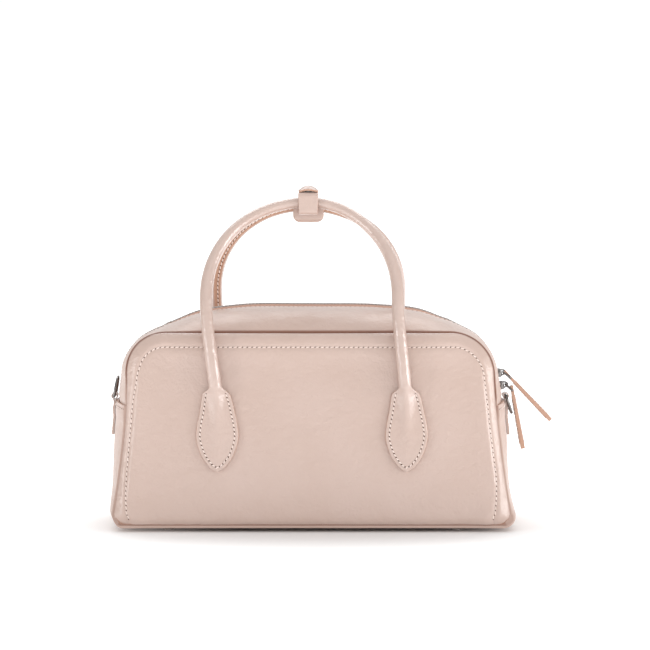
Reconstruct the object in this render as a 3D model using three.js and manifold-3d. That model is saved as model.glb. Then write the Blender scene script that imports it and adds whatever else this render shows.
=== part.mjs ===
// Zip-top leather satchel with rolled handles, in millimetres.
// X runs to the right, Y to the back and Z up. The front panel faces -Y.
import * as THREE from "three";
import { mergeVertices } from "three/addons/utils/BufferGeometryUtils.js";
import Module from "manifold-3d";

const wasm = await Module();
wasm.setup();

// Leather walls and clearances.
const GAP = 0.3; // between neighbouring pieces
const GUSSET_WALL = 2;
const PANEL_WALL = 1.6;
const BORDER_WALL = 1.4;

// The seam outline, where each panel meets the gusset.
const SEAM_BASE = 5; // height of the bottom seam
const SEAM_TOP = 140.5; // height of the top seam
const BASE_HALF = 140; // half width above the bottom corner
const TOP_HALF = 129.8; // half width below the top corner
const BASE_CORNER = 7;
const TOP_CORNER = 29;
const SIDE_FLARE = 0.15; // how far the side leans in as it leaves the bottom corner, radians
const TOP_LEAN = 3; // the soft top has slumped this far to the left
const HALF_DEPTH_BASE = 58;
const HALF_DEPTH_TOP = 47;

// The panels are crowned and roll back into the seam; a border strip frames them on three sides.
const CROWN = 5;
const EDGE_ROLL = 5.5; // width of the rolled edge
const EDGE_RISE = 3; // how far the roll brings the panel forward
const SEAM_TUCK = 2.2; // how far the panel's back sinks behind the seam plane
const BORDER_WIDTHS = [ // the strip is narrower on the sides, more so on the left
  { stage: 1.25, left: 8.6, right: 9.2 },
  { stage: 1.5, left: 9.8, right: 10.9 },
  { stage: 2, left: 9.7, right: 11.4 },
  { stage: 2.1, left: 7.8, right: 9.2 },
  { stage: 2.25, left: 6, right: 6.9 },
  { stage: 2.4, left: 5.1, right: 6.6 },
  { stage: 2.65, left: 4.7, right: 6.7 },
  { stage: 2.8, left: 5.2, right: 6.8 },
  { stage: 3, left: 8.4, right: 8 },
  { stage: 3.5, left: 10, right: 9.7 },
  { stage: 4, left: 10.4, right: 10.4 },
  { stage: 5, left: 10.4, right: 10.4 },
];
const BORDER_SHARES = [0, 0.15, 0.33, 0.62, 1]; // sections across the strip
const BORDER_STANDOFF = 0.5; // between the panel and the strip that laps it
const BORDER_START = 1.25; // stage of the outline where the strip meets the bottom seam
const PANEL_INSET = 6.5; // the panel's own edge lies under the border, this far in from the seam
const SIDE_INSET = 2.8; // and nearer the seam where the border is narrow
const NARROW_FROM = [2, 2.2]; // stages between which the border's narrow part begins
const NARROW_TO = [2.8, 3.05]; // and ends
const ROLL_SECTIONS = [GAP, 1.8, 3.6, 6.5]; // distances from the seam where the roll is followed
const PANEL_SECTIONS = [22, 40, 58, 76, 94, 112, 121, 127, 131]; // heights of the sections above the roll
const PANEL_SHARES = [0, 0.25, 0.5, 0.72, 0.88, 1]; // shares of the half width

// The gusset bulges between the seams. Stages run round half the outline: 0 to 1 base, 1 to 2 bottom corner,
// 2 to 3 side, 3 to 4 top corner and 4 to 5 top.
const GUSSET_ROUND = 2.2; // exponent of the bulge across the depth
const BASE_SETBACK = 2.3; // the gusset's edge behind the seam plane, along the base
const SIDE_SETBACK = 0.2; // and along the sides and the top
const GUSSET_BULGE = [
  { stage: 0, left: 2.5, right: 2.5 },
  { stage: 1, left: 3.6, right: 3.6 },
  { stage: 2, left: 6.2, right: 5.7 },
  { stage: 2.25, left: 7.1, right: 5.2 },
  { stage: 2.55, left: 9.3, right: 7.3 },
  { stage: 2.8, left: 8.4, right: 6.4 },
  { stage: 3, left: 6, right: 4.2 },
  { stage: 3.5, left: 2.6, right: 2.4 },
  { stage: 4, left: 5.8, right: 5.8 },
  { stage: 4.2, left: 12.6, right: 12.6 },
  { stage: 4.5, left: 17, right: 17 },
  { stage: 5, left: 18, right: 18 },
];
const LAP_STAGE = 2.77; // the lower gusset ends here, lapped over the zip gusset
const LAP_LENGTH = 0.07; // stages of overlap
const LAP_RAMP = 0.06; // stages in which the lower gusset climbs, and the zip gusset sinks, to make the lap
const LAP_SHIFT = (GUSSET_WALL + GAP) / 2; // how far each of the two moves
const LOWER_SHARES = [0, 0.32, 0.62, 0.86, 1]; // sections from the middle of the strip to its edge
const TOP_SHARES = [0, 0.3, 0.58, 0.82, 1]; // sections from the zip to the seam

// The zip.
const ZIP_CHANNEL = 7; // half width between the gusset edges
const TAPE_HALF = 10;
const TAPE_WALL = 1;
const TEETH_HALF = 2.9;
const TEETH_PROUD = 0.6; // above the leather
const TEETH_NOTCH = 1; // depth between the ribs
const RIB_COUNT = 72;
const TEETH_END_STAGE = 2.9; // the chain stops above the ring tabs

// The two sliders are parked at the right end of the zip, with leather pulls on wire links.
const SLIDERS = [
  { name: "upper", height: 108, linkLean: 52, pullLean: 42, pullLength: 39 },
  { name: "lower", height: 98.8, linkLean: 48, pullLean: 12, pullLength: 40 },
];
const SLIDER_LENGTH = 6;
const SLIDER_WIDTH = 8.5;
const SLIDER_HEIGHT = 2.4;
const SLIDER_CORNER = 0.8;
const BAIL_HEIGHT = 3.2;
const BAIL_LENGTH = 5;
const BAIL_WIDTH = 2.2;
const BAIL_HOLE = 2.1; // height of the slot under the bail
const BAIL_HOLE_HALF = 1.5;
const BAIL_HOLE_CORNER = 0.6;
const LINK_WIRE = 0.6;
const LINK_LENGTH = 6.6;
const LINK_HALF = 4;
const LINK_CORNER = 1.2;
const PULL_HALF = 1.5; // half thickness
const PULL_END_HALF = 1.9;
const PULL_EYE = 1;
const PULL_EYE_SWELL = 0.4; // the strap is this much fatter round its eye
const PULL_TOP_WIDTH = 6;
const PULL_END_WIDTH = 9;

// D-rings in folded tabs, one at each end of the zip.
const TAB_LOW = 63; // lower end of the tab
const RING_HEIGHT = 92; // height of the ring's bar
const TAB_WALL = 2.2;
const TAB_GAP = 0.4;
const TAB_WIDTH = 13;
const RING_WIRE = 1.15;
const RING_HALF = 8.7; // half length of the bar, wire centre
const RING_DEPTH = 13.5;
const RING_CORNER = 2.5;
const EYE_HOLE = 1.55;
const EYE_OUTER = 2.7;
const EYE_ARC = [202, -58]; // the fold runs round the bar from the bag's side to the outside, degrees
const RING_STAND_OFF = 3; // bar centre above the leather
const RINGS = [
  { name: "left", side: -1, turn: 190 }, // stands up and leans on the zip
  { name: "right", side: 1, turn: 24 }, // hangs down on its tab
];

// Rolled handles that flatten into teardrop tabs on the panels.
const HANDLE_RADIUS = 4.5;
const ARCH_RADIUS = 3.75; // the tube is thinner at its top
const TAB_X = 66.3; // tab centre lines
const ARCH_HALF = 67;
const ARCH_BASE = 165; // height where the legs turn into the arch
const APEX_DEPTH = 7.5; // each handle's distance from the middle at the top
const LEG_STANDOFF = 0.9; // the tube's back above the panel at the shoulder
const SHOULDER = 105; // the tube leaves the panel here
const LEAN_START = 80; // the legs begin to lean here
const TOP_FOCUS = 8; // how closely the shift of the arch's top keeps to the top
const LEG_SECTIONS = [108, 122, 136, 150]; // heights of the tube's sections between shoulder and arch
const HANDLES = [
  { name: "front", facing: -1, lean: -6.6, topShift: 3, apex: 230.9 },
  { name: "back", facing: 1, lean: -3.6, topShift: -1, apex: 228.7 },
];
const TEARDROP = [
  { height: 43.7, half: 2.6, flange: 2.4, ridge: 2.6 },
  { height: 46.5, half: 5.4, flange: 2.5, ridge: 2.8 },
  { height: 52, half: 9.6, flange: 2.6, ridge: 3 },
  { height: 59, half: 13, flange: 2.6, ridge: 3.2 },
  { height: 67, half: 14.9, flange: 2.6, ridge: 3.6 },
  { height: 76, half: 14.2, flange: 2.6, ridge: 4.4 },
  { height: 86, half: 12.2, flange: 2.6, ridge: 5.6 },
  { height: 95, half: 10.4, flange: 2.7, ridge: 7 },
  { height: 99.5, half: 9, flange: 3, ridge: 8 },
  { height: 103, half: 6, flange: 3.6, ridge: 8.8 },
];
const RIDGE_SHARE = 0.35; // how much of the ridge is left halfway to the edge
const TUBE_BLEND = [97, 104]; // heights between which the tab turns into the tube
const SECTION_ANGLES = [18, 54, 90, 126, 162, 198, 234, 270, 306, 342]; // corners of the tube's section
const SECTION_SPREAD = [1, 0.45, 0, -0.45, -1, -1, -0.45, 0, 0.45, 1]; // the same corners across the tab

// The keeper: a narrow strap round the front handle, a wide sleeve round the back one, snapped on top.
const KEEPER_X = -2.8;
const KEEPER_WALL = 1.8;
const KEEPER_CHAMFER = 1; // on the tongue's edge and in its bend
const KEEPER_HOLE_CORNER = 0.8; // smallest corner inside a loop
const STRAP_WIDTH = 14;
const SLEEVE_WIDTH = 22;
const STRAP = { front: -14.8, back: -0.6, low: 222.1, high: 236.8, corner: 3 };
const SLEEVE = { front: 0.2, back: 16, low: 216.3, high: 235, corner: 4 };
const SLEEVE_TAPER = 9; // the sleeve begins to narrow this far under its top
const TONGUE = { front: -12.2, low: 239, high: 242.8, dome: 1.2, corner: 3 };
const SNAP_RADIUS = 4;
const SNAP_Y = -6.5;

// Feet.
const FOOT_X = 102;
const FOOT_Y = 40;
const FOOT_RADIUS = 4;
const FOOT_FLAT = 2.4;
const FOOT_SHOULDER = { radius: 0.85, height: 0.3 }; // shares of the radius and the height
const FOOT_RIM = 0.75; // share of the height where the dome meets its upright rim
const SNAP_TOP = 0.6; // share of the snap's radius at its top

const FINISHES = {
  leather: { color: 0xdcc3b7, roughness: 0.42, metalness: 0 },
  edgedLeather: { color: 0xd2a88f, roughness: 0.5, metalness: 0 },
  tape: { color: 0xcfae9f, roughness: 0.85, metalness: 0 },
  metal: { color: 0xcfcdca, roughness: 0.22, metalness: 1 },
};

const satchel = new THREE.Group();

// Keep only positions, join shared corners and turn the faces outwards.
function closed(geometry) {
  geometry.deleteAttribute("normal");
  geometry.deleteAttribute("uv");
  const merged = mergeVertices(geometry, 1e-4);
  const place = merged.getAttribute("position");
  const index = merged.getIndex().array;
  const corner = [new THREE.Vector3(), new THREE.Vector3(), new THREE.Vector3()];
  let volume = 0;
  for (let face = 0; face < index.length; face += 3) {
    corner.forEach((point, step) => point.fromBufferAttribute(place, index[face + step]));
    volume += corner[0].dot(corner[1].cross(corner[2]));
  }
  if (volume < 0) {
    index.reverse();
  }
  return merged;
}

function fromFaces(points, faces) {
  const geometry = new THREE.BufferGeometry();
  const numbers = points.flatMap((point) => [point.x, point.y, point.z]);
  geometry.setAttribute("position", new THREE.Float32BufferAttribute(numbers, 3));
  geometry.setIndex(faces);
  return closed(geometry);
}

function addPiece(name, geometry, finish) {
  const mesh = new THREE.Mesh(geometry, new THREE.MeshStandardMaterial(FINISHES[finish]));
  mesh.name = name;
  satchel.add(mesh);
  return mesh;
}

// A leather wall: an outer and an inner surface over the same two lists of values, closed round the rim.
function wall(columns, rows, outer, inner) {
  const points = [];
  const faces = [];
  const layer = columns.length * rows.length;
  for (const surface of [outer, inner]) {
    rows.forEach((row) => columns.forEach((column) => points.push(surface(column, row))));
  }
  const at = (side, column, row) => side * layer + row * columns.length + column;
  const quad = (a, b, c, d) => faces.push(a, b, c, a, c, d);
  const lastColumn = columns.length - 1;
  const lastRow = rows.length - 1;
  for (let row = 0; row < lastRow; row += 1) {
    for (let column = 0; column < lastColumn; column += 1) {
      quad(at(0, column, row), at(0, column + 1, row), at(0, column + 1, row + 1), at(0, column, row + 1));
      quad(at(1, column, row + 1), at(1, column + 1, row + 1), at(1, column + 1, row), at(1, column, row));
    }
    quad(at(0, 0, row + 1), at(1, 0, row + 1), at(1, 0, row), at(0, 0, row));
    const end = lastColumn;
    quad(at(0, end, row), at(1, end, row), at(1, end, row + 1), at(0, end, row + 1));
  }
  for (let column = 0; column < lastColumn; column += 1) {
    quad(at(0, column, 0), at(1, column, 0), at(1, column + 1, 0), at(0, column + 1, 0));
    const top = lastRow;
    quad(at(0, column + 1, top), at(1, column + 1, top), at(1, column, top), at(0, column, top));
  }
  return fromFaces(points, faces);
}

// A skin over a row of equal rings. A looped row joins its last ring to its first, an open one is capped.
function loft(rings, looped) {
  const sides = rings[0].length;
  const points = rings.flat();
  const faces = [];
  const spans = looped ? rings.length : rings.length - 1;
  for (let ring = 0; ring < spans; ring += 1) {
    const next = (ring + 1) % rings.length;
    for (let side = 0; side < sides; side += 1) {
      const beside = (side + 1) % sides;
      const a = ring * sides + side;
      const b = ring * sides + beside;
      const c = next * sides + beside;
      const d = next * sides + side;
      faces.push(a, b, c, a, c, d);
    }
  }
  if (!looped) {
    const last = (rings.length - 1) * sides;
    for (let side = 1; side < sides - 1; side += 1) {
      faces.push(0, side + 1, side, last, last + side, last + side + 1);
    }
  }
  return fromFaces(points, faces);
}

// A table of sections, read smoothly between its rows.
function tableReader(rows, key, columns) {
  const places = rows.map((row) => row[key]);
  const values = rows.flatMap((row) => columns.map((column) => row[column]));
  const reader = new THREE.CubicInterpolant(places, values, columns.length);
  return (place) => {
    const found = reader.evaluate(place);
    return Object.fromEntries(columns.map((column, order) => [column, found[order]]));
  };
}

function steps(from, to, count) {
  return Array.from({ length: count + 1 }, (_, step) => from + ((to - from) * step) / count);
}

function mirrored(values) {
  const other = values.map((value) => -value).reverse();
  return [...other, ...values.filter((value) => value > 0)];
}

// Extrude a profile drawn in X and Z along Y, or one drawn in Y and Z along X, centred on the origin.
function extrudeAlongY(shape, width, curveSegments) {
  const geometry = new THREE.ExtrudeGeometry(shape, { depth: width, bevelEnabled: false, curveSegments });
  geometry.rotateX(Math.PI / 2);
  geometry.translate(0, width / 2, 0);
  return closed(geometry);
}

function extrudeAlongX(shape, width, slices) {
  const settings = { depth: width, steps: slices, bevelEnabled: false, curveSegments: 3 };
  const geometry = new THREE.ExtrudeGeometry(shape, settings);
  geometry.translate(0, 0, -width / 2);
  const turn = new THREE.Matrix4().makeBasis(
    new THREE.Vector3(0, 1, 0),
    new THREE.Vector3(0, 0, 1),
    new THREE.Vector3(1, 0, 0),
  );
  return closed(geometry.applyMatrix4(turn));
}

function toManifold(geometry) {
  const vertProperties = new Float32Array(geometry.getAttribute("position").array);
  const triVerts = new Uint32Array(geometry.getIndex().array);
  return new wasm.Manifold(new wasm.Mesh({ numProp: 3, vertProperties, triVerts }));
}

function joined(first, second) {
  const mesh = toManifold(first).add(toManifold(second)).getMesh();
  const geometry = new THREE.BufferGeometry();
  geometry.setAttribute("position", new THREE.Float32BufferAttribute(mesh.vertProperties, 3));
  geometry.setIndex(Array.from(mesh.triVerts));
  return closed(geometry);
}

function roundedBox(path, left, right, low, high, corner) {
  path.moveTo(left + corner, low);
  path.lineTo(right - corner, low);
  path.absarc(right - corner, low + corner, corner, -Math.PI / 2, 0);
  path.lineTo(right, high - corner);
  path.absarc(right - corner, high - corner, corner, 0, Math.PI / 2);
  path.lineTo(left + corner, high);
  path.absarc(left + corner, high - corner, corner, Math.PI / 2, Math.PI);
  path.lineTo(left, low + corner);
  path.absarc(left + corner, low + corner, corner, Math.PI, 1.5 * Math.PI);
  return path;
}

// Body surfaces
const cornerLow = new THREE.Vector2(BASE_HALF - BASE_CORNER, SEAM_BASE + BASE_CORNER);
const cornerHigh = new THREE.Vector2(TOP_HALF - TOP_CORNER, SEAM_TOP - TOP_CORNER);
const flare = new THREE.Vector2(Math.cos(SIDE_FLARE), Math.sin(SIDE_FLARE));
const sideStart = cornerLow.clone().addScaledVector(flare, BASE_CORNER);
const sideEnd = new THREE.Vector2(TOP_HALF, cornerHigh.y);
const sideHandle = (sideEnd.y - sideStart.y) / 3;
const seamCurves = [
  new THREE.LineCurve(new THREE.Vector2(0, SEAM_BASE), new THREE.Vector2(cornerLow.x, SEAM_BASE)),
  new THREE.EllipseCurve(cornerLow.x, cornerLow.y, BASE_CORNER, BASE_CORNER, -Math.PI / 2, SIDE_FLARE),
  new THREE.CubicBezierCurve(
    sideStart,
    new THREE.Vector2(sideStart.x - flare.y * sideHandle, sideStart.y + flare.x * sideHandle),
    new THREE.Vector2(sideEnd.x, sideEnd.y - sideHandle),
    sideEnd,
  ),
  new THREE.EllipseCurve(cornerHigh.x, cornerHigh.y, TOP_CORNER, TOP_CORNER, 0, Math.PI / 2),
  new THREE.LineCurve(new THREE.Vector2(cornerHigh.x, SEAM_TOP), new THREE.Vector2(0, SEAM_TOP)),
];
const TOP_STAGE = seamCurves.length;
const bulgeAt = tableReader(GUSSET_BULGE, "stage", ["left", "right"]);
const leanAt = (z) => -TOP_LEAN * Math.min(Math.max(z, 0) / SEAM_TOP, 1) ** 4;

function halfDepthAt(z) {
  return THREE.MathUtils.mapLinear(z, SEAM_BASE, SEAM_TOP, HALF_DEPTH_BASE, HALF_DEPTH_TOP);
}

// A point of the seam on one side of the bag, with its outward direction, before the lean.
function seamAt(side, stage) {
  const curve = Math.min(Math.floor(stage), TOP_STAGE - 1);
  const point = seamCurves[curve].getPoint(stage - curve);
  const tangent = seamCurves[curve].getTangent(stage - curve);
  return { x: side * point.x, z: point.y, outX: side * tangent.y, outZ: -tangent.x };
}

// A point of the gusset: across runs from -1 at the front seam to 1 at the back seam.
function gussetPoint(side, stage, across, offset) {
  const seam = seamAt(side, stage);
  const bulge = bulgeAt(stage)[side < 0 ? "left" : "right"];
  const out = bulge * (1 - Math.abs(across) ** GUSSET_ROUND) + offset;
  const z = seam.z + seam.outZ * out;
  return new THREE.Vector3(seam.x + seam.outX * out + leanAt(z), across * halfDepthAt(seam.z), z);
}

// Where the gusset's edge lies across the depth: it stops just short of the panel and its border.
function gussetEdge(stage) {
  const setback = THREE.MathUtils.lerp(BASE_SETBACK, SIDE_SETBACK, THREE.MathUtils.smoothstep(stage, 1, 1.3));
  return 1 - setback / halfDepthAt(seamAt(1, stage).z);
}

// The stage of the outline at a height, found by halving.
function stageAt(z) {
  let low = 1;
  let high = TOP_STAGE - 1;
  for (let round = 0; round < 40; round += 1) {
    const middle = (low + high) / 2;
    if (seamAt(1, middle).z < z) {
      low = middle;
    } else {
      high = middle;
    }
  }
  return low;
}

const seamLine = steps(0, TOP_STAGE, 200).map((stage) => seamAt(1, stage));
const seamDistance = (x, z) => Math.min(...seamLine.map((p) => Math.hypot(Math.abs(x) - p.x, z - p.z)));

// Distance of a panel's outer face from the middle plane of the bag.
function panelFace(x, z) {
  const roll = EDGE_RISE * Math.sin(Math.min(seamDistance(x, z) / EDGE_ROLL, 1) * (Math.PI / 2));
  const up = (2 * (z - SEAM_BASE)) / (SEAM_TOP - SEAM_BASE) - 1;
  const crown = CROWN * (1 - (x / BASE_HALF) ** 2) * (1 - up ** 2);
  return halfDepthAt(z) - SEAM_TUCK + PANEL_WALL + roll + crown;
}

function panelPoint(facing, x, z, proud) {
  return new THREE.Vector3(x + leanAt(z), facing * (panelFace(x, z) + proud), z);
}

const SIDES = [
  { name: "front", facing: -1 },
  { name: "back", facing: 1 },
];

// Panels: each reaches the bottom seam, and lies under its border elsewhere.
function panelInset(stage) {
  const begun = THREE.MathUtils.smoothstep(stage, ...NARROW_FROM);
  const ended = THREE.MathUtils.smoothstep(stage, ...NARROW_TO);
  return THREE.MathUtils.lerp(PANEL_INSET, SIDE_INSET, begun - ended);
}

function panelHalf(z) {
  const level = Math.max(z, cornerLow.y);
  let low = 2;
  let high = TOP_STAGE - 1;
  for (let round = 0; round < 40; round += 1) {
    const middle = (low + high) / 2;
    const seam = seamAt(1, middle);
    if (seam.z - seam.outZ * panelInset(middle) < level) {
      low = middle;
    } else {
      high = middle;
    }
  }
  const seam = seamAt(1, low);
  return seam.x - seam.outX * panelInset(low);
}

const panelRows = [
  ...ROLL_SECTIONS.map((edge) => SEAM_BASE + edge),
  ...PANEL_SECTIONS,
  SEAM_TOP - PANEL_INSET,
];
const panelColumns = mirrored(PANEL_SHARES);
for (const { name, facing } of SIDES) {
  const surface = (proud) => (share, z) => panelPoint(facing, share * panelHalf(z), z, proud);
  addPiece(`${name}_panel`, wall(panelColumns, panelRows, surface(0), surface(-PANEL_WALL)), "leather");
}

// Borders: level across the sides, square to the seam over the corners and the top.
const borderSide = [
  ...steps(BORDER_START, 2, 3),
  ...steps(2.2, 2.8, 3),
  ...steps(3, 4, 5),
  4.4,
  4.8,
];
const borderStations = mirrored(borderSide.map((stage) => TOP_STAGE - stage).reverse());
const borderWidthAt = tableReader(BORDER_WIDTHS, "stage", ["left", "right"]);
for (const { name, facing } of SIDES) {
  const surface = (proud) => (station, share) => {
    const stage = TOP_STAGE - Math.abs(station);
    const seam = seamAt(Math.sign(station), stage);
    const level = stage < 3;
    const width = borderWidthAt(stage)[station < 0 ? "left" : "right"];
    const edge = THREE.MathUtils.lerp(GAP, width, share);
    const x = seam.x - (level ? Math.sign(seam.x) : seam.outX) * edge;
    const z = seam.z - (level ? 0 : seam.outZ) * edge;
    return panelPoint(facing, x, z, proud);
  };
  const outer = surface(BORDER_STANDOFF + BORDER_WALL);
  const strip = wall(borderStations, BORDER_SHARES, outer, surface(BORDER_STANDOFF));
  addPiece(`${name}_border`, strip, "leather");
}

// Lower gusset: both sides and the base in one strip, lifted at its ends where it laps the zip gusset.
const lowerStations = mirrored([
  ...steps(0, 1, 2),
  ...steps(1, 2, 3).slice(1),
  ...steps(2, LAP_STAGE - LAP_LENGTH - LAP_RAMP, 4).slice(1),
  LAP_STAGE - LAP_LENGTH,
  LAP_STAGE,
]);
const lowerShares = mirrored(LOWER_SHARES);
const lapLift = (stage) => {
  const climb = (stage - LAP_STAGE + LAP_LENGTH + LAP_RAMP) / LAP_RAMP;
  return LAP_SHIFT * THREE.MathUtils.clamp(climb, 0, 1);
};
const lapSink = (stage) => LAP_SHIFT * THREE.MathUtils.clamp((LAP_STAGE + LAP_RAMP - stage) / LAP_RAMP, 0, 1);
const lowerSurface = (depth) => (station, share) => {
  const stage = Math.abs(station);
  return gussetPoint(station < 0 ? -1 : 1, stage, share * gussetEdge(stage), lapLift(stage) - depth);
};
const lowerStrip = wall(lowerStations, lowerShares, lowerSurface(0), lowerSurface(GUSSET_WALL));
addPiece("lower_gusset", lowerStrip, "leather");

// Zip gusset: the two leather halves, the tape under their edges and the chain of teeth.
// Stations over the top run from the left lap, through 0 at the middle, to the right lap.
const overTop = (stages) => mirrored(stages.map((stage) => TOP_STAGE - stage).reverse());
const topPoint = (station, across, offset) => {
  const stage = TOP_STAGE - Math.abs(station);
  return gussetPoint(station < 0 ? -1 : 1, stage, across, offset - lapSink(stage));
};
const topStations = overTop([
  LAP_STAGE - LAP_LENGTH,
  LAP_STAGE,
  LAP_STAGE + LAP_RAMP,
  3,
  ...steps(3, 4, 5).slice(1),
  ...steps(4, 5, 4).slice(1),
]);
const acrossAt = (station, y) => y / halfDepthAt(seamAt(1, TOP_STAGE - Math.abs(station)).z);
for (const { name, facing } of SIDES) {
  const surface = (depth) => (station, share) => {
    const inner = acrossAt(station, ZIP_CHANNEL);
    const outer = gussetEdge(TOP_STAGE - Math.abs(station));
    return topPoint(station, facing * THREE.MathUtils.lerp(inner, outer, share), -depth);
  };
  const half = wall(topStations, TOP_SHARES, surface(0), surface(GUSSET_WALL));
  addPiece(`top_gusset_${name}`, half, "leather");
}
const tapeSurface = (depth) => (station, y) => topPoint(station, acrossAt(station, y), -depth);
const tapeTop = GUSSET_WALL + GAP;
addPiece(
  "zip_tape",
  wall(topStations, [-TAPE_HALF, 0, TAPE_HALF], tapeSurface(tapeTop), tapeSurface(tapeTop + TAPE_WALL)),
  "tape",
);
const teethReach = TOP_STAGE - TEETH_END_STAGE;
const teethRings = steps(-teethReach, teethReach, 2 * RIB_COUNT).map((station, order) => {
  const height = TEETH_PROUD - (order % 2) * TEETH_NOTCH;
  const half = TEETH_HALF - (order % 2) * 0.5 * TEETH_NOTCH;
  const corner = (y, offset) => topPoint(station, acrossAt(station, y), offset);
  const foot = GAP - tapeTop;
  return [corner(-half, height), corner(half, height), corner(half, foot), corner(-half, foot)];
});
addPiece("zip_teeth", loft(teethRings, false), "metal");

// A frame standing on the zip line: where it is and how far the leather there leans from upright.
function zipLineFrame(side, stage) {
  const point = gussetPoint(side, stage, 0, 0);
  const above = gussetPoint(side, stage + 0.01, 0, 0);
  return { point, lean: Math.atan2(above.x - point.x, above.z - point.z) };
}

// A closed wire loop through points of a plane spanned by Y and one direction.
function wireLoop(path, direction, radius, sides) {
  const normal = new THREE.Vector3(0, 1, 0).cross(direction).normalize();
  const points = path.map(([y, along]) => direction.clone().multiplyScalar(along).setY(y));
  const rings = points.map((point, order) => {
    const before = points[(order + points.length - 1) % points.length];
    const after = points[(order + 1) % points.length];
    const inPlane = after.clone().sub(before).cross(normal).normalize();
    return steps(0, 2 * Math.PI, sides).slice(1).map((angle) => {
      const reach = inPlane.clone().multiplyScalar(radius * Math.cos(angle));
      return reach.addScaledVector(normal, radius * Math.sin(angle)).add(point);
    });
  });
  return loft(rings, true);
}

// Points round a corner or an arc in a plane, from one angle to another in degrees.
function arcPoints(centreA, centreB, radiusA, radiusB, from, to, count) {
  return steps(from, to, count).map((degrees) => {
    const angle = THREE.MathUtils.degToRad(degrees);
    return [centreA + radiusA * Math.cos(angle), centreB + radiusB * Math.sin(angle)];
  });
}

// Sliders, links and pulls
const linkSide = LINK_HALF - LINK_CORNER;
const linkFar = LINK_LENGTH - LINK_CORNER;
const linkPath = [
  ...arcPoints(linkSide, LINK_CORNER, LINK_CORNER, LINK_CORNER, -90, 0, 2),
  ...arcPoints(linkSide, linkFar, LINK_CORNER, LINK_CORNER, 0, 90, 2),
  ...arcPoints(-linkSide, linkFar, LINK_CORNER, LINK_CORNER, 90, 180, 2),
  ...arcPoints(-linkSide, LINK_CORNER, LINK_CORNER, LINK_CORNER, 180, 270, 2),
];
const sliderBase = TEETH_PROUD + GAP;
const bailBase = sliderBase + SLIDER_HEIGHT;
const bailMiddle = bailBase + BAIL_HOLE / 2;
for (const { name, height, linkLean, pullLean, pullLength } of SLIDERS) {
  const { point, lean } = zipLineFrame(1, stageAt(height));
  const plateEnd = SLIDER_LENGTH / 2;
  const plate = roundedBox(new THREE.Shape(), sliderBase, bailBase, -plateEnd, plateEnd, SLIDER_CORNER);
  const bailEnd = BAIL_LENGTH / 2;
  const bailRoot = bailBase - SLIDER_CORNER;
  const bailTop = bailBase + BAIL_HEIGHT;
  const bail = roundedBox(new THREE.Shape(), bailRoot, bailTop, -bailEnd, bailEnd, SLIDER_CORNER);
  const slotTop = bailBase + BAIL_HOLE;
  const slot = new THREE.Path();
  bail.holes.push(roundedBox(slot, bailBase, slotTop, -BAIL_HOLE_HALF, BAIL_HOLE_HALF, BAIL_HOLE_CORNER));
  const slider = joined(extrudeAlongY(plate, SLIDER_WIDTH, 1), extrudeAlongY(bail, BAIL_WIDTH, 1));
  const sliderMesh = addPiece(`${name}_slider`, slider, "metal");
  sliderMesh.position.copy(point);
  sliderMesh.rotation.y = lean;

  const linkAngle = THREE.MathUtils.degToRad(linkLean);
  const linkDirection = new THREE.Vector3(Math.sin(linkAngle), 0, -Math.cos(linkAngle));
  const bailPoint = point.clone();
  bailPoint.x += bailMiddle * Math.cos(lean);
  bailPoint.z -= bailMiddle * Math.sin(lean);
  const link = addPiece(`${name}_pull_link`, wireLoop(linkPath, linkDirection, LINK_WIRE, 6), "metal");
  link.position.copy(bailPoint);

  // The strap is drawn hanging down from the eye at the origin.
  const eyeOuter = PULL_HALF + PULL_EYE_SWELL;
  const neck = Math.asin(PULL_HALF / eyeOuter);
  const strap = new THREE.Shape();
  strap.moveTo(PULL_HALF, -eyeOuter * Math.cos(neck));
  strap.absarc(0, 0, eyeOuter, neck - Math.PI / 2, 1.5 * Math.PI - neck, false);
  strap.lineTo(-PULL_END_HALF, PULL_END_HALF - pullLength);
  strap.absarc(0, PULL_END_HALF - pullLength, PULL_END_HALF, Math.PI, 2 * Math.PI, false);
  strap.holes.push(new THREE.Path().absarc(0, 0, PULL_EYE, 0, 2 * Math.PI));
  const pull = extrudeAlongY(strap, PULL_TOP_WIDTH, 5);
  const corners = pull.getAttribute("position");
  for (let corner = 0; corner < corners.count; corner += 1) {
    const drop = THREE.MathUtils.clamp(-corners.getZ(corner) / pullLength, 0, 1);
    const widen = THREE.MathUtils.lerp(1, PULL_END_WIDTH / PULL_TOP_WIDTH, drop);
    corners.setY(corner, corners.getY(corner) * widen);
  }
  const pullMesh = addPiece(`${name}_pull`, pull, "edgedLeather");
  pullMesh.position.copy(bailPoint).addScaledVector(linkDirection, LINK_LENGTH);
  pullMesh.rotation.y = -THREE.MathUtils.degToRad(pullLean);
}

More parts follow.
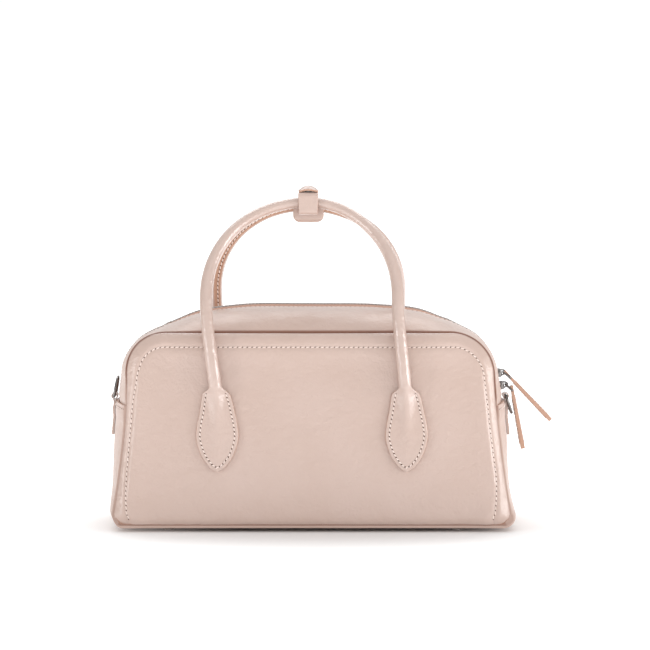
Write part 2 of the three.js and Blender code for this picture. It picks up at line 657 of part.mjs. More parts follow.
// D-rings and their folded tabs
const ringPath = [
  ...arcPoints(RING_HALF - RING_CORNER, RING_CORNER, RING_CORNER, RING_CORNER, -90, 0, 2),
  ...arcPoints(0, RING_CORNER, RING_HALF, RING_DEPTH - RING_CORNER, 0, 180, 8).slice(1, -1),
  ...arcPoints(RING_CORNER - RING_HALF, RING_CORNER, RING_CORNER, RING_CORNER, 180, 270, 2),
];
for (const { name, side, turn } of RINGS) {
  const bar = Math.abs(gussetPoint(side, stageAt(RING_HEIGHT), 0, 0).x) + RING_STAND_OFF;
  const lowStage = stageAt(TAB_LOW);
  const backStages = [lowStage, ...lowerStations.filter((station) => station > lowStage)];
  const tabEdge = (proud) => backStages.map((stage) => {
    const point = gussetPoint(side, stage, 0, lapLift(stage) + proud);
    return new THREE.Vector2(Math.abs(point.x), point.z);
  });
  const tab = new THREE.Shape(tabEdge(TAB_GAP));
  tab.absarc(bar, RING_HEIGHT, EYE_OUTER, ...EYE_ARC.map(THREE.MathUtils.degToRad), true);
  tabEdge(TAB_GAP + TAB_WALL).toReversed().slice(1).forEach((point) => tab.lineTo(point.x, point.y));
  tab.holes.push(new THREE.Path().absarc(bar, RING_HEIGHT, EYE_HOLE, 0, 2 * Math.PI));
  const fold = extrudeAlongY(tab, TAB_WIDTH, 6);
  fold.scale(side, 1, 1);
  addPiece(`${name}_ring_tab`, closed(fold), "leather");

  const angle = THREE.MathUtils.degToRad(turn);
  const direction = new THREE.Vector3(side * Math.sin(angle), 0, -Math.cos(angle));
  const ring = addPiece(`${name}_d_ring`, wireLoop(ringPath, direction, RING_WIRE, 8), "metal");
  ring.position.set(side * bar, 0, RING_HEIGHT);
}

// Handles: the tube rings run from one teardrop tip up the leg, over the arch and down to the other tip.
const teardropAt = tableReader(TEARDROP, "height", ["half", "flange", "ridge"]);
for (const { name, facing, lean, topShift, apex } of HANDLES) {
  const legDepth = panelFace(TAB_X, SHOULDER) + LEG_STANDOFF + HANDLE_RADIUS;
  const depthAt = (z) => {
    const climb = THREE.MathUtils.clamp((z - SHOULDER) / (apex - SHOULDER), 0, 1);
    return THREE.MathUtils.lerp(legDepth, APEX_DEPTH, climb ** 2);
  };
  const legX = (z) => {
    const climb = THREE.MathUtils.smoothstep(z, LEAN_START, ARCH_BASE);
    return { half: THREE.MathUtils.lerp(TAB_X, ARCH_HALF, climb), middle: lean * climb };
  };
  const tabHeights = TEARDROP.map((row) => row.height);
  const legHeights = [...tabHeights, ...LEG_SECTIONS];
  const leg = (side, z) => ({ x: legX(z).middle + side * legX(z).half, z });
  const arch = steps(0, Math.PI, 16).map((angle) => ({
    x: lean + topShift * Math.sin(angle) ** TOP_FOCUS + ARCH_HALF * Math.cos(angle),
    z: ARCH_BASE + (apex - ARCH_BASE) * Math.sin(angle),
  }));
  const route = [
    ...legHeights.map((z) => leg(1, z)),
    ...arch,
    ...legHeights.toReversed().map((z) => leg(-1, z)),
  ];
  const centres = route.map(({ x, z }) => new THREE.Vector3(x, facing * depthAt(z), z));
  const rings = route.map(({ x, z }, order) => {
    const before = centres[Math.max(order - 1, 0)];
    const after = centres[Math.min(order + 1, centres.length - 1)];
    const along = after.clone().sub(before).normalize();
    const outward = new THREE.Vector3(0, facing, 0).addScaledVector(along, -along.y * facing).normalize();
    const sideways = outward.clone().cross(along).multiplyScalar(facing);
    const section = teardropAt(Math.min(z, tabHeights.at(-1)));
    const tubeShare = THREE.MathUtils.smoothstep(z, ...TUBE_BLEND);
    const thinning = THREE.MathUtils.smoothstep(z, ARCH_BASE, apex);
    const radius = THREE.MathUtils.lerp(HANDLE_RADIUS, ARCH_RADIUS, thinning);
    return SECTION_ANGLES.map((degrees, corner) => {
      const angle = THREE.MathUtils.degToRad(degrees);
      const tube = centres[order].clone();
      tube.addScaledVector(sideways, radius * Math.cos(angle));
      tube.addScaledVector(outward, radius * Math.sin(angle));
      if (tubeShare === 1) {
        return tube;
      }
      const spread = SECTION_SPREAD[corner];
      const share = spread === 0 ? 1 : Math.abs(spread) < 1 ? RIDGE_SHARE : 0;
      const height = Math.sin(angle) > 0 ? THREE.MathUtils.lerp(section.flange, section.ridge, share) : 0;
      const flatX = x + Math.sign(sideways.x) * spread * section.half;
      const flat = new THREE.Vector3(flatX, facing * (panelFace(flatX, z) + GAP + height), z);
      return flat.lerp(tube, tubeShare);
    });
  });
  addPiece(`${name}_handle`, loft(rings, false), "leather");
}

// Keeper, round both handles at the top of the arch.
const hollow = (box) => {
  const wallCorner = Math.max(box.corner - KEEPER_WALL, KEEPER_HOLE_CORNER);
  const hole = new THREE.Path();
  const across = [box.front + KEEPER_WALL, box.back - KEEPER_WALL];
  const upright = [box.low + KEEPER_WALL, box.high - KEEPER_WALL];
  return roundedBox(hole, ...across, ...upright, wallCorner);
};
const { front, back, low, high, corner: strapCorner } = STRAP;
const strapShape = roundedBox(new THREE.Shape(), front, back, low, high, strapCorner);
strapShape.holes.push(hollow(STRAP));
const strapMesh = addPiece("keeper_strap", extrudeAlongX(strapShape, STRAP_WIDTH, 1), "leather");
strapMesh.position.x = KEEPER_X;

// The sleeve's back rises into a narrower tongue that lies forward over the strap.
const tongueBack = SLEEVE.back - KEEPER_WALL;
const sleeveFront = SLEEVE.front + SLEEVE.corner;
const sleeveBack = SLEEVE.back - SLEEVE.corner;
const sleeveFoot = SLEEVE.low + SLEEVE.corner;
const tongueBend = TONGUE.high - TONGUE.corner;
const sleeveShape = new THREE.Shape();
sleeveShape.moveTo(sleeveFront, SLEEVE.low);
sleeveShape.lineTo(sleeveBack, SLEEVE.low);
sleeveShape.absarc(sleeveBack, sleeveFoot, SLEEVE.corner, -Math.PI / 2, 0);
sleeveShape.lineTo(SLEEVE.back, tongueBend);
sleeveShape.absarc(SLEEVE.back - TONGUE.corner, tongueBend, TONGUE.corner, 0, Math.PI / 2);
sleeveShape.lineTo(TONGUE.front + KEEPER_CHAMFER, TONGUE.high);
sleeveShape.lineTo(TONGUE.front, TONGUE.low + KEEPER_CHAMFER);
sleeveShape.lineTo(TONGUE.front + KEEPER_CHAMFER, TONGUE.low);
sleeveShape.lineTo(tongueBack - KEEPER_CHAMFER, TONGUE.low);
sleeveShape.lineTo(tongueBack, TONGUE.low - KEEPER_CHAMFER);
sleeveShape.lineTo(tongueBack, SLEEVE.high);
sleeveShape.lineTo(sleeveFront, SLEEVE.high);
sleeveShape.absarc(sleeveFront, SLEEVE.high - SLEEVE.corner, SLEEVE.corner, Math.PI / 2, Math.PI);
sleeveShape.lineTo(SLEEVE.front, sleeveFoot);
sleeveShape.absarc(sleeveFront, sleeveFoot, SLEEVE.corner, Math.PI, 1.5 * Math.PI);
sleeveShape.holes.push(hollow(SLEEVE));
const sleeve = extrudeAlongX(sleeveShape, SLEEVE_WIDTH, 4);
const sleeveCorners = sleeve.getAttribute("position");
for (let corner = 0; corner < sleeveCorners.count; corner += 1) {
  const height = sleeveCorners.getZ(corner);
  const narrow = THREE.MathUtils.smoothstep(height, SLEEVE.high - SLEEVE_TAPER, SLEEVE.high);
  const share = sleeveCorners.getX(corner) / (SLEEVE_WIDTH / 2);
  sleeveCorners.setX(corner, (share * THREE.MathUtils.lerp(SLEEVE_WIDTH, STRAP_WIDTH, narrow)) / 2);
  const laid = THREE.MathUtils.smoothstep(height, SLEEVE.high, TONGUE.low - KEEPER_CHAMFER);
  sleeveCorners.setZ(corner, height - TONGUE.dome * laid * share ** 2);
}
const sleeveMesh = addPiece("keeper_sleeve", sleeve, "leather");
sleeveMesh.position.x = KEEPER_X;

// A turned metal piece: its profile of radius and height, from the axis back to the axis.
function turned(profile, segments) {
  const geometry = new THREE.LatheGeometry(profile.map(([r, z]) => new THREE.Vector2(r, z)), segments);
  return closed(geometry.rotateX(Math.PI / 2));
}

const snapHeight = TONGUE.low - STRAP.high - 3 * GAP;
const snapRim = snapHeight / 2;
const snapProfile = [
  [0, 0],
  [SNAP_RADIUS, 0],
  [SNAP_RADIUS, snapRim],
  [SNAP_TOP * SNAP_RADIUS, snapHeight],
  [0, snapHeight],
];
const snap = addPiece("keeper_snap", turned(snapProfile, 14), "metal");
snap.position.set(KEEPER_X, SNAP_Y, STRAP.high + GAP);

// Feet, each seated under the base at its lowest nearby point.
const footStage = FOOT_X / cornerLow.x;
const footSeat = gussetPoint(1, footStage, (FOOT_Y - FOOT_RADIUS) / HALF_DEPTH_BASE, 0).z - GAP;
const footProfile = [
  [0, 0],
  [FOOT_FLAT, 0],
  [FOOT_SHOULDER.radius * FOOT_RADIUS, FOOT_SHOULDER.height * footSeat],
  [FOOT_RADIUS, FOOT_RIM * footSeat],
  [FOOT_RADIUS, footSeat],
  [0, footSeat],
];
for (const depth of SIDES) {
  for (const [name, side] of [["left", -1], ["right", 1]]) {
    const foot = addPiece(`foot_${depth.name}_${name}`, turned(footProfile, 12), "metal");
    foot.position.set(side * FOOT_X, depth.facing * FOOT_Y, 0);
  }
}

// The origin is under the middle of the whole object, on the surface that the feet stand on.
const reach = new THREE.Box3().setFromObject(satchel, true);
const middle = reach.getCenter(new THREE.Vector3());
satchel.position.set(-middle.x, -middle.y, -reach.min.z);
satchel.updateMatrixWorld(true);

export default satchel;
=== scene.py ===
import math

import bpy
import numpy as np
from mathutils import Matrix, Vector, noise


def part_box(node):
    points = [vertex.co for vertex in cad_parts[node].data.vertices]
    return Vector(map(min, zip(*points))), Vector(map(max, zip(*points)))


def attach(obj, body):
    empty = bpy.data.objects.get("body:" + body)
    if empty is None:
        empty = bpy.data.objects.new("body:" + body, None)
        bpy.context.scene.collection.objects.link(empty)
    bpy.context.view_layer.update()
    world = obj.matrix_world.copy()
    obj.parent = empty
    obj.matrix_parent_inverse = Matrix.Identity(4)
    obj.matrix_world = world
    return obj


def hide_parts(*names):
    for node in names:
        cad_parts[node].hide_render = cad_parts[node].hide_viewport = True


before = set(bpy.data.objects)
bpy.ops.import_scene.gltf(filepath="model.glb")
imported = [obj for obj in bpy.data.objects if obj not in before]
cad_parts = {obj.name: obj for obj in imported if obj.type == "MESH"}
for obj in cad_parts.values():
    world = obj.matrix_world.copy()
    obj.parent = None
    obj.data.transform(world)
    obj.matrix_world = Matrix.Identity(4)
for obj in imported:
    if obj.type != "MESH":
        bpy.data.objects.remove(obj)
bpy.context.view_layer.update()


# Studio: a plain white floor that runs out of sight, an upright softbox on each side and a wide one overhead.
# The camera stands a little above the satchel's middle, two metres away.
def table(columns, *rows):
    """Rows of values as dictionaries with named columns."""
    return [dict(zip(columns.split(), row)) for row in rows]


picture_width = 0.455  # what the picture takes in at the front panel
camera_distance, camera_lift = 2.0, math.radians(3.4)
aim, lamp_aim = Vector((-0.0026, -0.057, 0.146)), Vector((0, 0, 0.1))
sensor_width, view_reach, floor_size = 36, 200, 60.0
glow_from, floor_glow = (0.06, 0.28), 0.72  # the floor's painted glow comes in between these distances
softboxes = table(
    "name place width height watts",
    ("left softbox", (-2.0, -1.1, 0.35), 0.4, 0.9, 10),
    ("right softbox", (2.12, -0.77, 0.35), 1.3, 0.9, 24),
    ("overhead softbox", (0.0, 0.85, 1.65), 1.6, 0.8, 11))
side_dimming = -0.85  # the studio's walls are darker than its ends


def linear(hex_colour):
    shares = [int(hex_colour[start:start + 2], 16) / 255 for start in (0, 2, 4)]
    return [s / 12.92 if s <= 0.04045 else ((s + 0.055) / 1.055) ** 2.4 for s in shares] + [1.0]


def add_node(tree, kind, inputs=None, **settings):
    made = tree.nodes.new("ShaderNode" + kind)
    for name, value in settings.items():
        setattr(made, name, value)
    for socket, value in (inputs or {}).items():
        if isinstance(value, bpy.types.NodeSocket):
            tree.links.new(value, made.inputs[socket])
        else:
            made.inputs[socket].default_value = value
    return made


def new_material(name, constants):
    """A material with constants on its shader's sockets, and its node tree and shader."""
    material = bpy.data.materials.new(name)
    material.use_nodes = True
    shader = material.node_tree.nodes["Principled BSDF"]
    for socket, value in constants.items():
        shader.inputs[socket].default_value = value
    return material, material.node_tree, shader


bpy.ops.object.select_all(action="DESELECT")
back_off = Vector((0, -math.cos(camera_lift), math.sin(camera_lift))) * camera_distance
bpy.ops.object.camera_add(location=aim + back_off, rotation=(math.pi / 2 - camera_lift, 0, 0))
camera = bpy.context.object
camera.data.sensor_width = sensor_width
camera.data.lens = sensor_width * camera_distance / picture_width
camera.data.clip_end = view_reach
bpy.context.scene.camera = camera

bpy.ops.mesh.primitive_plane_add(size=floor_size)
floor = bpy.context.object
floor.name = "floor"
# White paper sweep: dead matt and clean, with a painted glow that fades out close to the satchel.
paper, tree, shader = new_material("white paper sweep", {
    "Base Color": linear("f6f6f6"), "Emission Color": linear("ffffff"), "Roughness": 0.9,
    "Specular IOR Level": 0.1})
place = add_node(tree, "TexCoord").outputs["Object"]
around = add_node(tree, "VectorMath", {0: place, 1: (0.75, 1.0, 1.0)}, operation="MULTIPLY").outputs["Vector"]
distance = add_node(tree, "VectorMath", {0: around}, operation="LENGTH").outputs["Value"]
glow = add_node(tree, "MapRange", {
    "Value": distance, "From Min": glow_from[0], "From Max": glow_from[1], "To Min": 0.0, "To Max": floor_glow,
}, interpolation_type="SMOOTHSTEP")
tree.links.new(glow.outputs["Result"], shader.inputs["Emission Strength"])
floor.data.materials.append(paper)

for row in softboxes:
    bpy.ops.object.light_add(type="AREA", location=row["place"])
    lamp = bpy.context.object
    lamp.name = row["name"]
    lamp.data.shape, lamp.data.energy = "RECTANGLE", row["watts"]
    lamp.data.size, lamp.data.size_y = row["width"], row["height"]
    lamp.rotation_euler = (lamp_aim - Vector(row["place"])).to_track_quat("-Z", "Y").to_euler()
world = bpy.data.worlds.new("pale studio")
bpy.context.scene.world = world
world.use_nodes = True
tree = world.node_tree
way = add_node(tree, "SeparateXYZ", {"Vector": add_node(tree, "TexCoord").outputs["Generated"]}).outputs
behind = add_node(tree, "Math", {0: way["Y"], 1: 0.0}, operation="MAXIMUM").outputs["Value"]
sweep = add_node(tree, "Math", {0: behind, 1: -0.7, 2: way["Z"]}, operation="MULTIPLY_ADD").outputs["Value"]
level = add_node(tree, "MapRange", {
    "Value": sweep, "From Min": 0.12, "From Max": 0.35, "To Min": 1.04, "To Max": 0.95,
}, interpolation_type="SMOOTHSTEP").outputs["Result"]
aside = add_node(tree, "Math", {0: way["X"], 1: way["X"]}, operation="MULTIPLY").outputs["Value"]
dimming = add_node(tree, "Math", {0: aside, 1: side_dimming, 2: 1.0}, operation="MULTIPLY_ADD").outputs
shown = add_node(tree, "Math", {0: level, 1: dimming["Value"]}, operation="MULTIPLY").outputs["Value"]
tree.links.new(shown, tree.nodes["Background"].inputs["Strength"])
tree.nodes["Background"].inputs["Color"].default_value = linear("ffffff")
bpy.context.scene.view_settings.view_transform = "Standard"

# Panels: one crowned sheet of smooth, lightly glazed calf leather at the front and one at the back.
# The bottom edge turns into the base seam. The other edges turn into the join with the border strip, and a
# row of top-stitching holds them flat just inside that join.
seam_base, seam_top = 0.005, 0.1405  # heights of the bottom and top seams
base_half, top_half = 0.140, 0.1298  # half widths above the bottom corner and below the top one
base_corner, top_corner = 0.007, 0.029
side_flare = 0.15  # how far the side leans in as it leaves the bottom corner, radians
top_lean = 0.003  # the soft top has slumped this far to the left
half_depth_base, half_depth_top = 0.058, 0.047
panel_crown, panel_wall = 0.005, 0.0013
face_height = 0.0024  # the panel's plain face over the seam plane, before the crown
top_roll, top_rise = 0.005, 0.003  # the edge's roll into the top and bottom seams: how wide and how high
side_roll, side_rise = 0.0085, 0.0046  # and into the side seams, where the border is puffed up
side_bevel = 1.35  # how round the sides' roll is: 1 would be a plain bevel
low_side, high_side = (0.118, 0.136), (0.085, 0.118)  # x where the sides begin and are full, low and high
side_climb = (0.010, 0.045)  # heights between the two
join_table = table(  # from the outer seam to the join of border and panel: the strip is narrower on the sides
    "stage left right",
    (1.25, 0.0084, 0.0090),
    (1.5, 0.0096, 0.0107),
    (2.0, 0.0095, 0.0112),
    (2.1, 0.0076, 0.0090),
    (2.25, 0.0058, 0.0067),
    (2.4, 0.0049, 0.0064),
    (2.65, 0.0045, 0.0065),
    (2.8, 0.0050, 0.0066),
    (3.0, 0.0082, 0.0078),
    (3.5, 0.0098, 0.0095),
    (4.0, 0.0102, 0.0102),
    (5.0, 0.0102, 0.0102))
valley_depth, valley_width = 0.0007, 0.0016  # the soft valley along the join
pillow_start, pillow_width = 0.002, 0.009  # the low pillow past it
broad_ripple, fine_ripple = 0.00035, 0.00012
base_lip = 0.0006  # radius with which the edge turns into the base seam
base_shade = 0.6  # how dark the painted shade is there
panel_low = seam_base + 0.0004
border_height, side_border_height = 0.0016, 0.0008  # the border's roll over the panel's plain face
bag_x = (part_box("foot_front_left")[0].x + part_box("foot_front_right")[1].x) / 2
bag_middle = Vector((bag_x, 0, 0.075))
corner_low = (base_half - base_corner, seam_base + base_corner)
corner_high = (top_half - top_corner, seam_top - top_corner)


def blend(low, high, share):
    return low + (high - low) * share


def clamp(value):
    return min(max(value, 0), 1)


def smooth(low, high, value):
    share = clamp((value - low) / (high - low))
    return share * share * (3 - 2 * share)


def hump(distance, width):
    return math.exp(-((distance / width) ** 2))


def spread(low, high, count):
    return [blend(low, high, step / count) for step in range(count + 1)]


def lip(distance, radius):
    """How far a turned edge has sunk, at a distance from its end."""
    if distance >= radius:
        return 0
    return radius - math.sqrt(max(radius ** 2 - (radius - max(distance, 0)) ** 2, 0))


def read_table(rows, column, place):
    """A column of a table, read smoothly between its rows by the first column."""
    places = np.array([next(iter(row.values())) for row in rows])
    values = np.array([row[column] for row in rows])
    slopes = np.gradient(values, places)
    place = min(max(place, places[0]), places[-1])
    row = min(max(int(np.searchsorted(places, place)) - 1, 0), len(rows) - 2)
    span = places[row + 1] - places[row]
    t = (place - places[row]) / span
    start = (1 + 2 * t) * (1 - t) ** 2 * values[row] + t * (1 - t) ** 2 * span * slopes[row]
    end = t * t * (3 - 2 * t) * values[row + 1] + t * t * (t - 1) * span * slopes[row + 1]
    return float(start + end)


def seam_at(stage):
    """A point of the seam on the right half, and its outward direction. Stages run 0 to 1 along the base,
    1 to 2 round the bottom corner, 2 to 3 up the side, 3 to 4 round the top corner, 4 to 5 along the top."""
    if stage < 1:
        return stage * corner_low[0], seam_base, 0, -1
    if stage >= 4:
        return corner_high[0] * (5 - stage), seam_top, 0, 1
    if 2 <= stage < 3:
        start = np.array(corner_low) + base_corner * np.array((math.cos(side_flare), math.sin(side_flare)))
        end = np.array((top_half, corner_high[1]))
        third = (end[1] - start[1]) / 3
        first = start + third * np.array((-math.sin(side_flare), math.cos(side_flare)))
        second = end - np.array((0, third))
        t = stage - 2
        x, z = ((1 - t) ** 3 * start + 3 * t * (1 - t) ** 2 * first
                + 3 * t * t * (1 - t) * second + t ** 3 * end)
        run = (1 - t) ** 2 * (first - start) + 2 * t * (1 - t) * (second - first) + t * t * (end - second)
        run = run / np.linalg.norm(run)
        return x, z, run[1], -run[0]
    low = stage < 2
    angle = blend(-math.pi / 2, side_flare, stage - 1) if low else (stage - 3) * math.pi / 2
    centre, radius = (corner_low, base_corner) if low else (corner_high, top_corner)
    across, up = math.cos(angle), math.sin(angle)
    return centre[0] + radius * across, centre[1] + radius * up, across, up


seam_line = np.array([seam_at(stage)[:2] for stage in spread(0, 5, 400)])


def lean_at(z):
    return -top_lean * min(max(z, 0) / seam_top, 1) ** 4


def half_depth_at(z):
    return blend(half_depth_base, half_depth_top, (z - seam_base) / (seam_top - seam_base))


def side_share(x, z):
    """From 0 in the middle of the bag to 1 along its sides, which begin further out at the base."""
    up = smooth(*side_climb, z)
    return smooth(blend(low_side[0], high_side[0], up), blend(low_side[1], high_side[1], up), abs(x))


def panel_face(x, z):
    """Distance of the panels' plain face from the middle plane. Here x counts from the bag's middle."""
    gap = np.hypot(abs(x) - seam_line[:, 0], z - seam_line[:, 1]).min()
    side = side_share(x, z)
    share = min(gap / blend(top_roll, side_roll, side), 1)
    rolled = blend(math.sin(share * math.pi / 2), 1 - (1 - share) ** side_bevel, side)
    fall = blend(top_rise, side_rise, side) * (1 - rolled)
    up = 2 * (z - seam_base) / (seam_top - seam_base) - 1
    crown = panel_crown * (1 - (x / base_half) ** 2) * (1 - up ** 2)
    return half_depth_at(z) + face_height - fall + crown


def side_of(station):
    return -1 if station < 0 else 1


def inset_point(station, inset):
    """A point of the front at an inset from the seam, level on the sides and square to the seam above.
    Stations run from the border's left end, through 0 at the middle of the top, to its right end."""
    stage = 5 - abs(station)
    x, z, out_x, out_z = seam_at(stage)
    if stage < 3:
        out_x, out_z = 1, 0
    return side_of(station) * (x - out_x * inset), z - out_z * inset


def join_inset(station):
    return read_table(join_table, "left" if station < 0 else "right", 5 - abs(station))


# Painted shade where a panel's edge turns into the base seam, fading up from it.
def base_seam_shade(z):
    return max(base_shade - (z - panel_low) / base_lip, 0)


def front_point(facing, x, z, proud):
    return Vector((bag_x + x + lean_at(z), facing * (panel_face(x, z) + proud), z))


def border_height_at(x, z):
    return blend(border_height, side_border_height, side_share(x, z))


def front_relief(x, z, past):
    """The hide's ripple, less the valley along the join and the turned base edge."""
    broad, fine = noise.noise((x * 26, z * 30, 1.7)), noise.noise((x * 75, z * 75, 5.1))
    ripple = broad_ripple * broad + fine_ripple * fine
    return ripple - valley_depth * hump(past, valley_width) - lip(z - panel_low, base_lip)


def panel_proud(x, z, past):
    """The soft relief of a panel over its plain face, by the distance past the join."""
    return border_height_at(x, z) * hump(max(past - pillow_start, 0), pillow_width) + front_relief(x, z, past)


def apply_modifier(piece, kind, **settings):
    bpy.context.view_layer.objects.active = piece
    modifier = piece.modifiers.new(kind.lower(), kind)
    for name, value in settings.items():
        setattr(modifier, name, value)
    bpy.ops.object.modifier_apply(modifier=modifier.name)


def shade_by(degrees):
    bpy.ops.object.shade_smooth_by_angle(angle=math.radians(degrees))


def placed_grid(name, columns, rows, place, centre, materials, paint=None):
    """A grid with every corner placed by its column and row, facing away from a centre. The place function
    also gives each corner's painted seam shade, from 0 to 1, and paint gives a face its material."""
    bpy.ops.object.select_all(action="DESELECT")
    across, up = len(columns) - 1, len(rows) - 1
    bpy.ops.mesh.primitive_grid_add(x_subdivisions=across, y_subdivisions=up, size=2)
    grid = bpy.context.object
    grid.name = grid.data.name = name
    for material in materials:
        grid.data.materials.append(material)
    if paint:
        for face in grid.data.polygons:
            column, row = (face.center.x + 1) / 2 * across, (face.center.y + 1) / 2 * up
            face.material_index = paint(columns[int(column)], rows[int(row)])
    # painted seam shade, which the leather reads as its seam attribute
    depth = grid.data.attributes.new("seam", "FLOAT", "POINT")
    for corner in grid.data.vertices:
        column, row = (corner.co.x + 1) / 2 * across, (corner.co.y + 1) / 2 * up
        corner.co, depth.data[corner.index].value = place(columns[round(column)], rows[round(row)])
    grid.data.update()
    if centre:
        outward = sum((face.center - centre).dot(face.normal) * face.area for face in grid.data.polygons)
        if outward < 0:
            grid.data.flip_normals()
    return grid


def leather_sheet(name, columns, rows, place, wall, materials, centre=bag_middle):
    """A sheet of leather: a placed grid with its wall inwards, whose rim takes the last material."""
    sheet = placed_grid(name, columns, rows, place, centre, materials)
    apply_modifier(sheet, "SOLIDIFY", thickness=wall, offset=-1, material_offset_rim=len(materials) - 1)
    shade_by(40)
    return sheet


def dress(piece, slot, *nodes, body="bag"):
    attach(piece, body)
    if nodes:
        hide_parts(*nodes)


def mottled(name, colours, size, detail, constants):
    """A plain material of two near colours, clouded at a real size."""
    material, tree, shader = new_material(name, constants)
    place = add_node(tree, "TexCoord").outputs["Object"]
    cloud = add_node(tree, "TexNoise", {"Vector": place, "Scale": 1 / size, "Detail": detail}).outputs["Fac"]
    tint = add_node(tree, "ValToRGB", {"Fac": cloud})
    for element, colour in zip(tint.color_ramp.elements, colours):
        element.color = linear(colour)
    tree.links.new(tint.outputs["Color"], shader.inputs["Base Color"])
    return material


# Glazed calf leather: a thin clear finish over a fine, nearly flat grain. It gives soft broad highlights,
# faint creases where the hide was bent, and a slightly uneven blush colour, with painted shade in the seams.
leather, tree, shader = new_material("glazed blush calf leather", {
    "Coat Weight": 0.8, "Coat Roughness": 0.18})
crease_size, crease_bend, cell_size, pore_size, cloud_size = 0.005, 0.006, 0.0016, 0.00045, 0.045
place = add_node(tree, "TexCoord").outputs["Object"]
cloud, wander, pores = (
    add_node(tree, "TexNoise", {"Vector": place, "Scale": 1 / size, "Detail": detail}).outputs
    for size, detail in ((cloud_size, 3.0), (crease_size / 0.4, 2.0), (pore_size, 2.0)))
bent = add_node(tree, "VectorMath", {0: wander["Color"], "Scale": crease_bend}, operation="SCALE")
bent = add_node(tree, "VectorMath", {0: place, 1: bent.outputs["Vector"]}, operation="ADD")
bent_place = bent.outputs["Vector"]
crease = add_node(tree, "TexNoise", {
    "Vector": bent_place, "Scale": 1 / crease_size, "Detail": 5.0, "Roughness": 0.55}).outputs["Fac"]
cells = add_node(tree, "TexVoronoi", {"Vector": bent_place, "Scale": 1 / cell_size}, feature="SMOOTH_F1")
tint = add_node(tree, "ValToRGB", {"Fac": cloud["Fac"]})
for element, colour, end in zip(tint.color_ramp.elements, ("c2a99d", "c6aea3"), (0.3, 0.7)):
    element.color, element.position = linear(colour), end
# Painted shade: the seam attribute mixes the colour towards dark brown where edges turn into seams.
painted_seam_shade = add_node(tree, "Attribute", attribute_name="seam").outputs["Fac"]
painted_shade_mix = add_node(tree, "Mix", {
    "Factor": painted_seam_shade, "A": tint.outputs["Color"], "B": linear("70402b")}, data_type="RGBA")
tree.links.new(painted_shade_mix.outputs["Result"], shader.inputs["Base Color"])
gloss = add_node(tree, "MapRange", {
    "Value": crease, "From Min": 0.25, "From Max": 0.75, "To Min": 0.36, "To Max": 0.46})
tree.links.new(gloss.outputs["Result"], shader.inputs["Roughness"])
fold_bump = add_node(tree, "Bump", {"Height": crease, "Distance": 0.0014, "Strength": 0.5}).outputs["Normal"]
cell_bump = add_node(tree, "Bump", {
    "Height": cells.outputs["Distance"], "Distance": 0.00018, "Strength": 0.6, "Normal": fold_bump})
pore_bump = add_node(tree, "Bump", {
    "Height": pores["Fac"], "Distance": 0.00004, "Strength": 0.5, "Normal": cell_bump.outputs["Normal"]})
tree.links.new(pore_bump.outputs["Normal"], shader.inputs["Normal"])
tree.links.new(fold_bump, shader.inputs["Coat Normal"])
# Edge paint: a few coats of acrylic over the cut edge, smooth and rounded, a warmer tan than the skin.
edge_paint = mottled("painted leather edge", ("b98f78", "c9a38e"), 0.004, 3.0, {"Roughness": 0.4})

border_ends = [1.27, 1.4, 1.55, 1.7, 1.85, *spread(2, 3, 40), *spread(3, 4, 30)[1:], *spread(4, 5, 40)[1:]]
front_stations = [stage - 5 for stage in border_ends] + [5 - stage for stage in reversed(border_ends[:-1])]
panel_steps = [0, 0.0002, 0.0005, 0.0009, 0.0014, 0.002, 0.0027, 0.0036, 0.0048, 0.0064, 0.0085, 0.011,
               0.0135, 0.016]  # the mesh follows the join this far in, then fans out to the bottom edge
fan_shares = [0.12, 0.24, 0.36, 0.48, 0.58, 0.68, 0.76, 0.83, 0.88, 0.92, 0.95, 0.97, 0.983, 0.991, 0.996, 1]
fan_half, fan_length = 0.085, 0.1  # the fan ends on this much of the bottom edge, each way from the middle


def panel_corner(facing):
    def place(station, row):
        past = panel_steps[min(row, len(panel_steps) - 1)]
        x, z = inset_point(station, join_inset(station) + past)
        if row >= len(panel_steps):
            share = fan_shares[row - len(panel_steps)]
            x = blend(x, fan_half * station / front_stations[-1], share)
            z = blend(z, panel_low, share)
            past += share * fan_length
        z = max(z, panel_low)
        return front_point(facing, x, z, panel_proud(x, z, past)), base_seam_shade(z)
    return place


facings = {"front": -1, "back": 1}
panel_rows = range(len(panel_steps) + len(fan_shares))
for side_name, facing in facings.items():
    panel = leather_sheet(f"{side_name}_panel_leather", front_stations, panel_rows, panel_corner(facing),
                          panel_wall, [leather, edge_paint])
    dress(panel, "blush_leather", f"{side_name}_panel")

# Borders: an inverted U of the same leather frames each panel. It is turned into the outer seam on one side
# and into the join on the other, so it stands as a soft roll between them. The join is top-stitched on the
# panel.
border_wall = 0.0013
border_edge = 0.0005  # the turned edge lies this far in from the seam
seam_lip = 0.0011  # radius with which it turns into the outer seam
top_shade, side_shade, shade_blend = 1, 0.35, 0.12  # painted shade in the outer seam: strong above, light below
shade_starts = {-1: 2.95, 1: 2.75}  # stages where it changes, left and right
seam_shade_width = 0.0010  # painted shade darkens the leather over this much of each turned edge
edge_steps = [0, 0.00003, 0.00012, 0.00025, 0.0004, 0.0006, 0.0009, 0.0013]
border_rows = [(step, 0) for step in edge_steps] + [
    (edge_steps[-1], share) for share in (0.08, 0.2, 0.34, 0.48, 0.6, 0.7, 0.79, 0.86, 0.91, 0.95, 0.98, 1)]
stitch_pitch, thread_radius, hole_radius = 0.0034, 0.00042, 0.00042
stitch_past = 0.0002  # the stitching lies this far past the join, on the panel
thread_lift = 0.00012  # of the thread's middle over the leather
tangent_steps = (-0.0004, 0, 0.0004)


# Strength of the painted shade along the outer seam.
def seam_shade(station):
    start = shade_starts[side_of(station)]
    return blend(side_shade, top_shade, smooth(start - shade_blend, start + shade_blend, 5 - abs(station)))


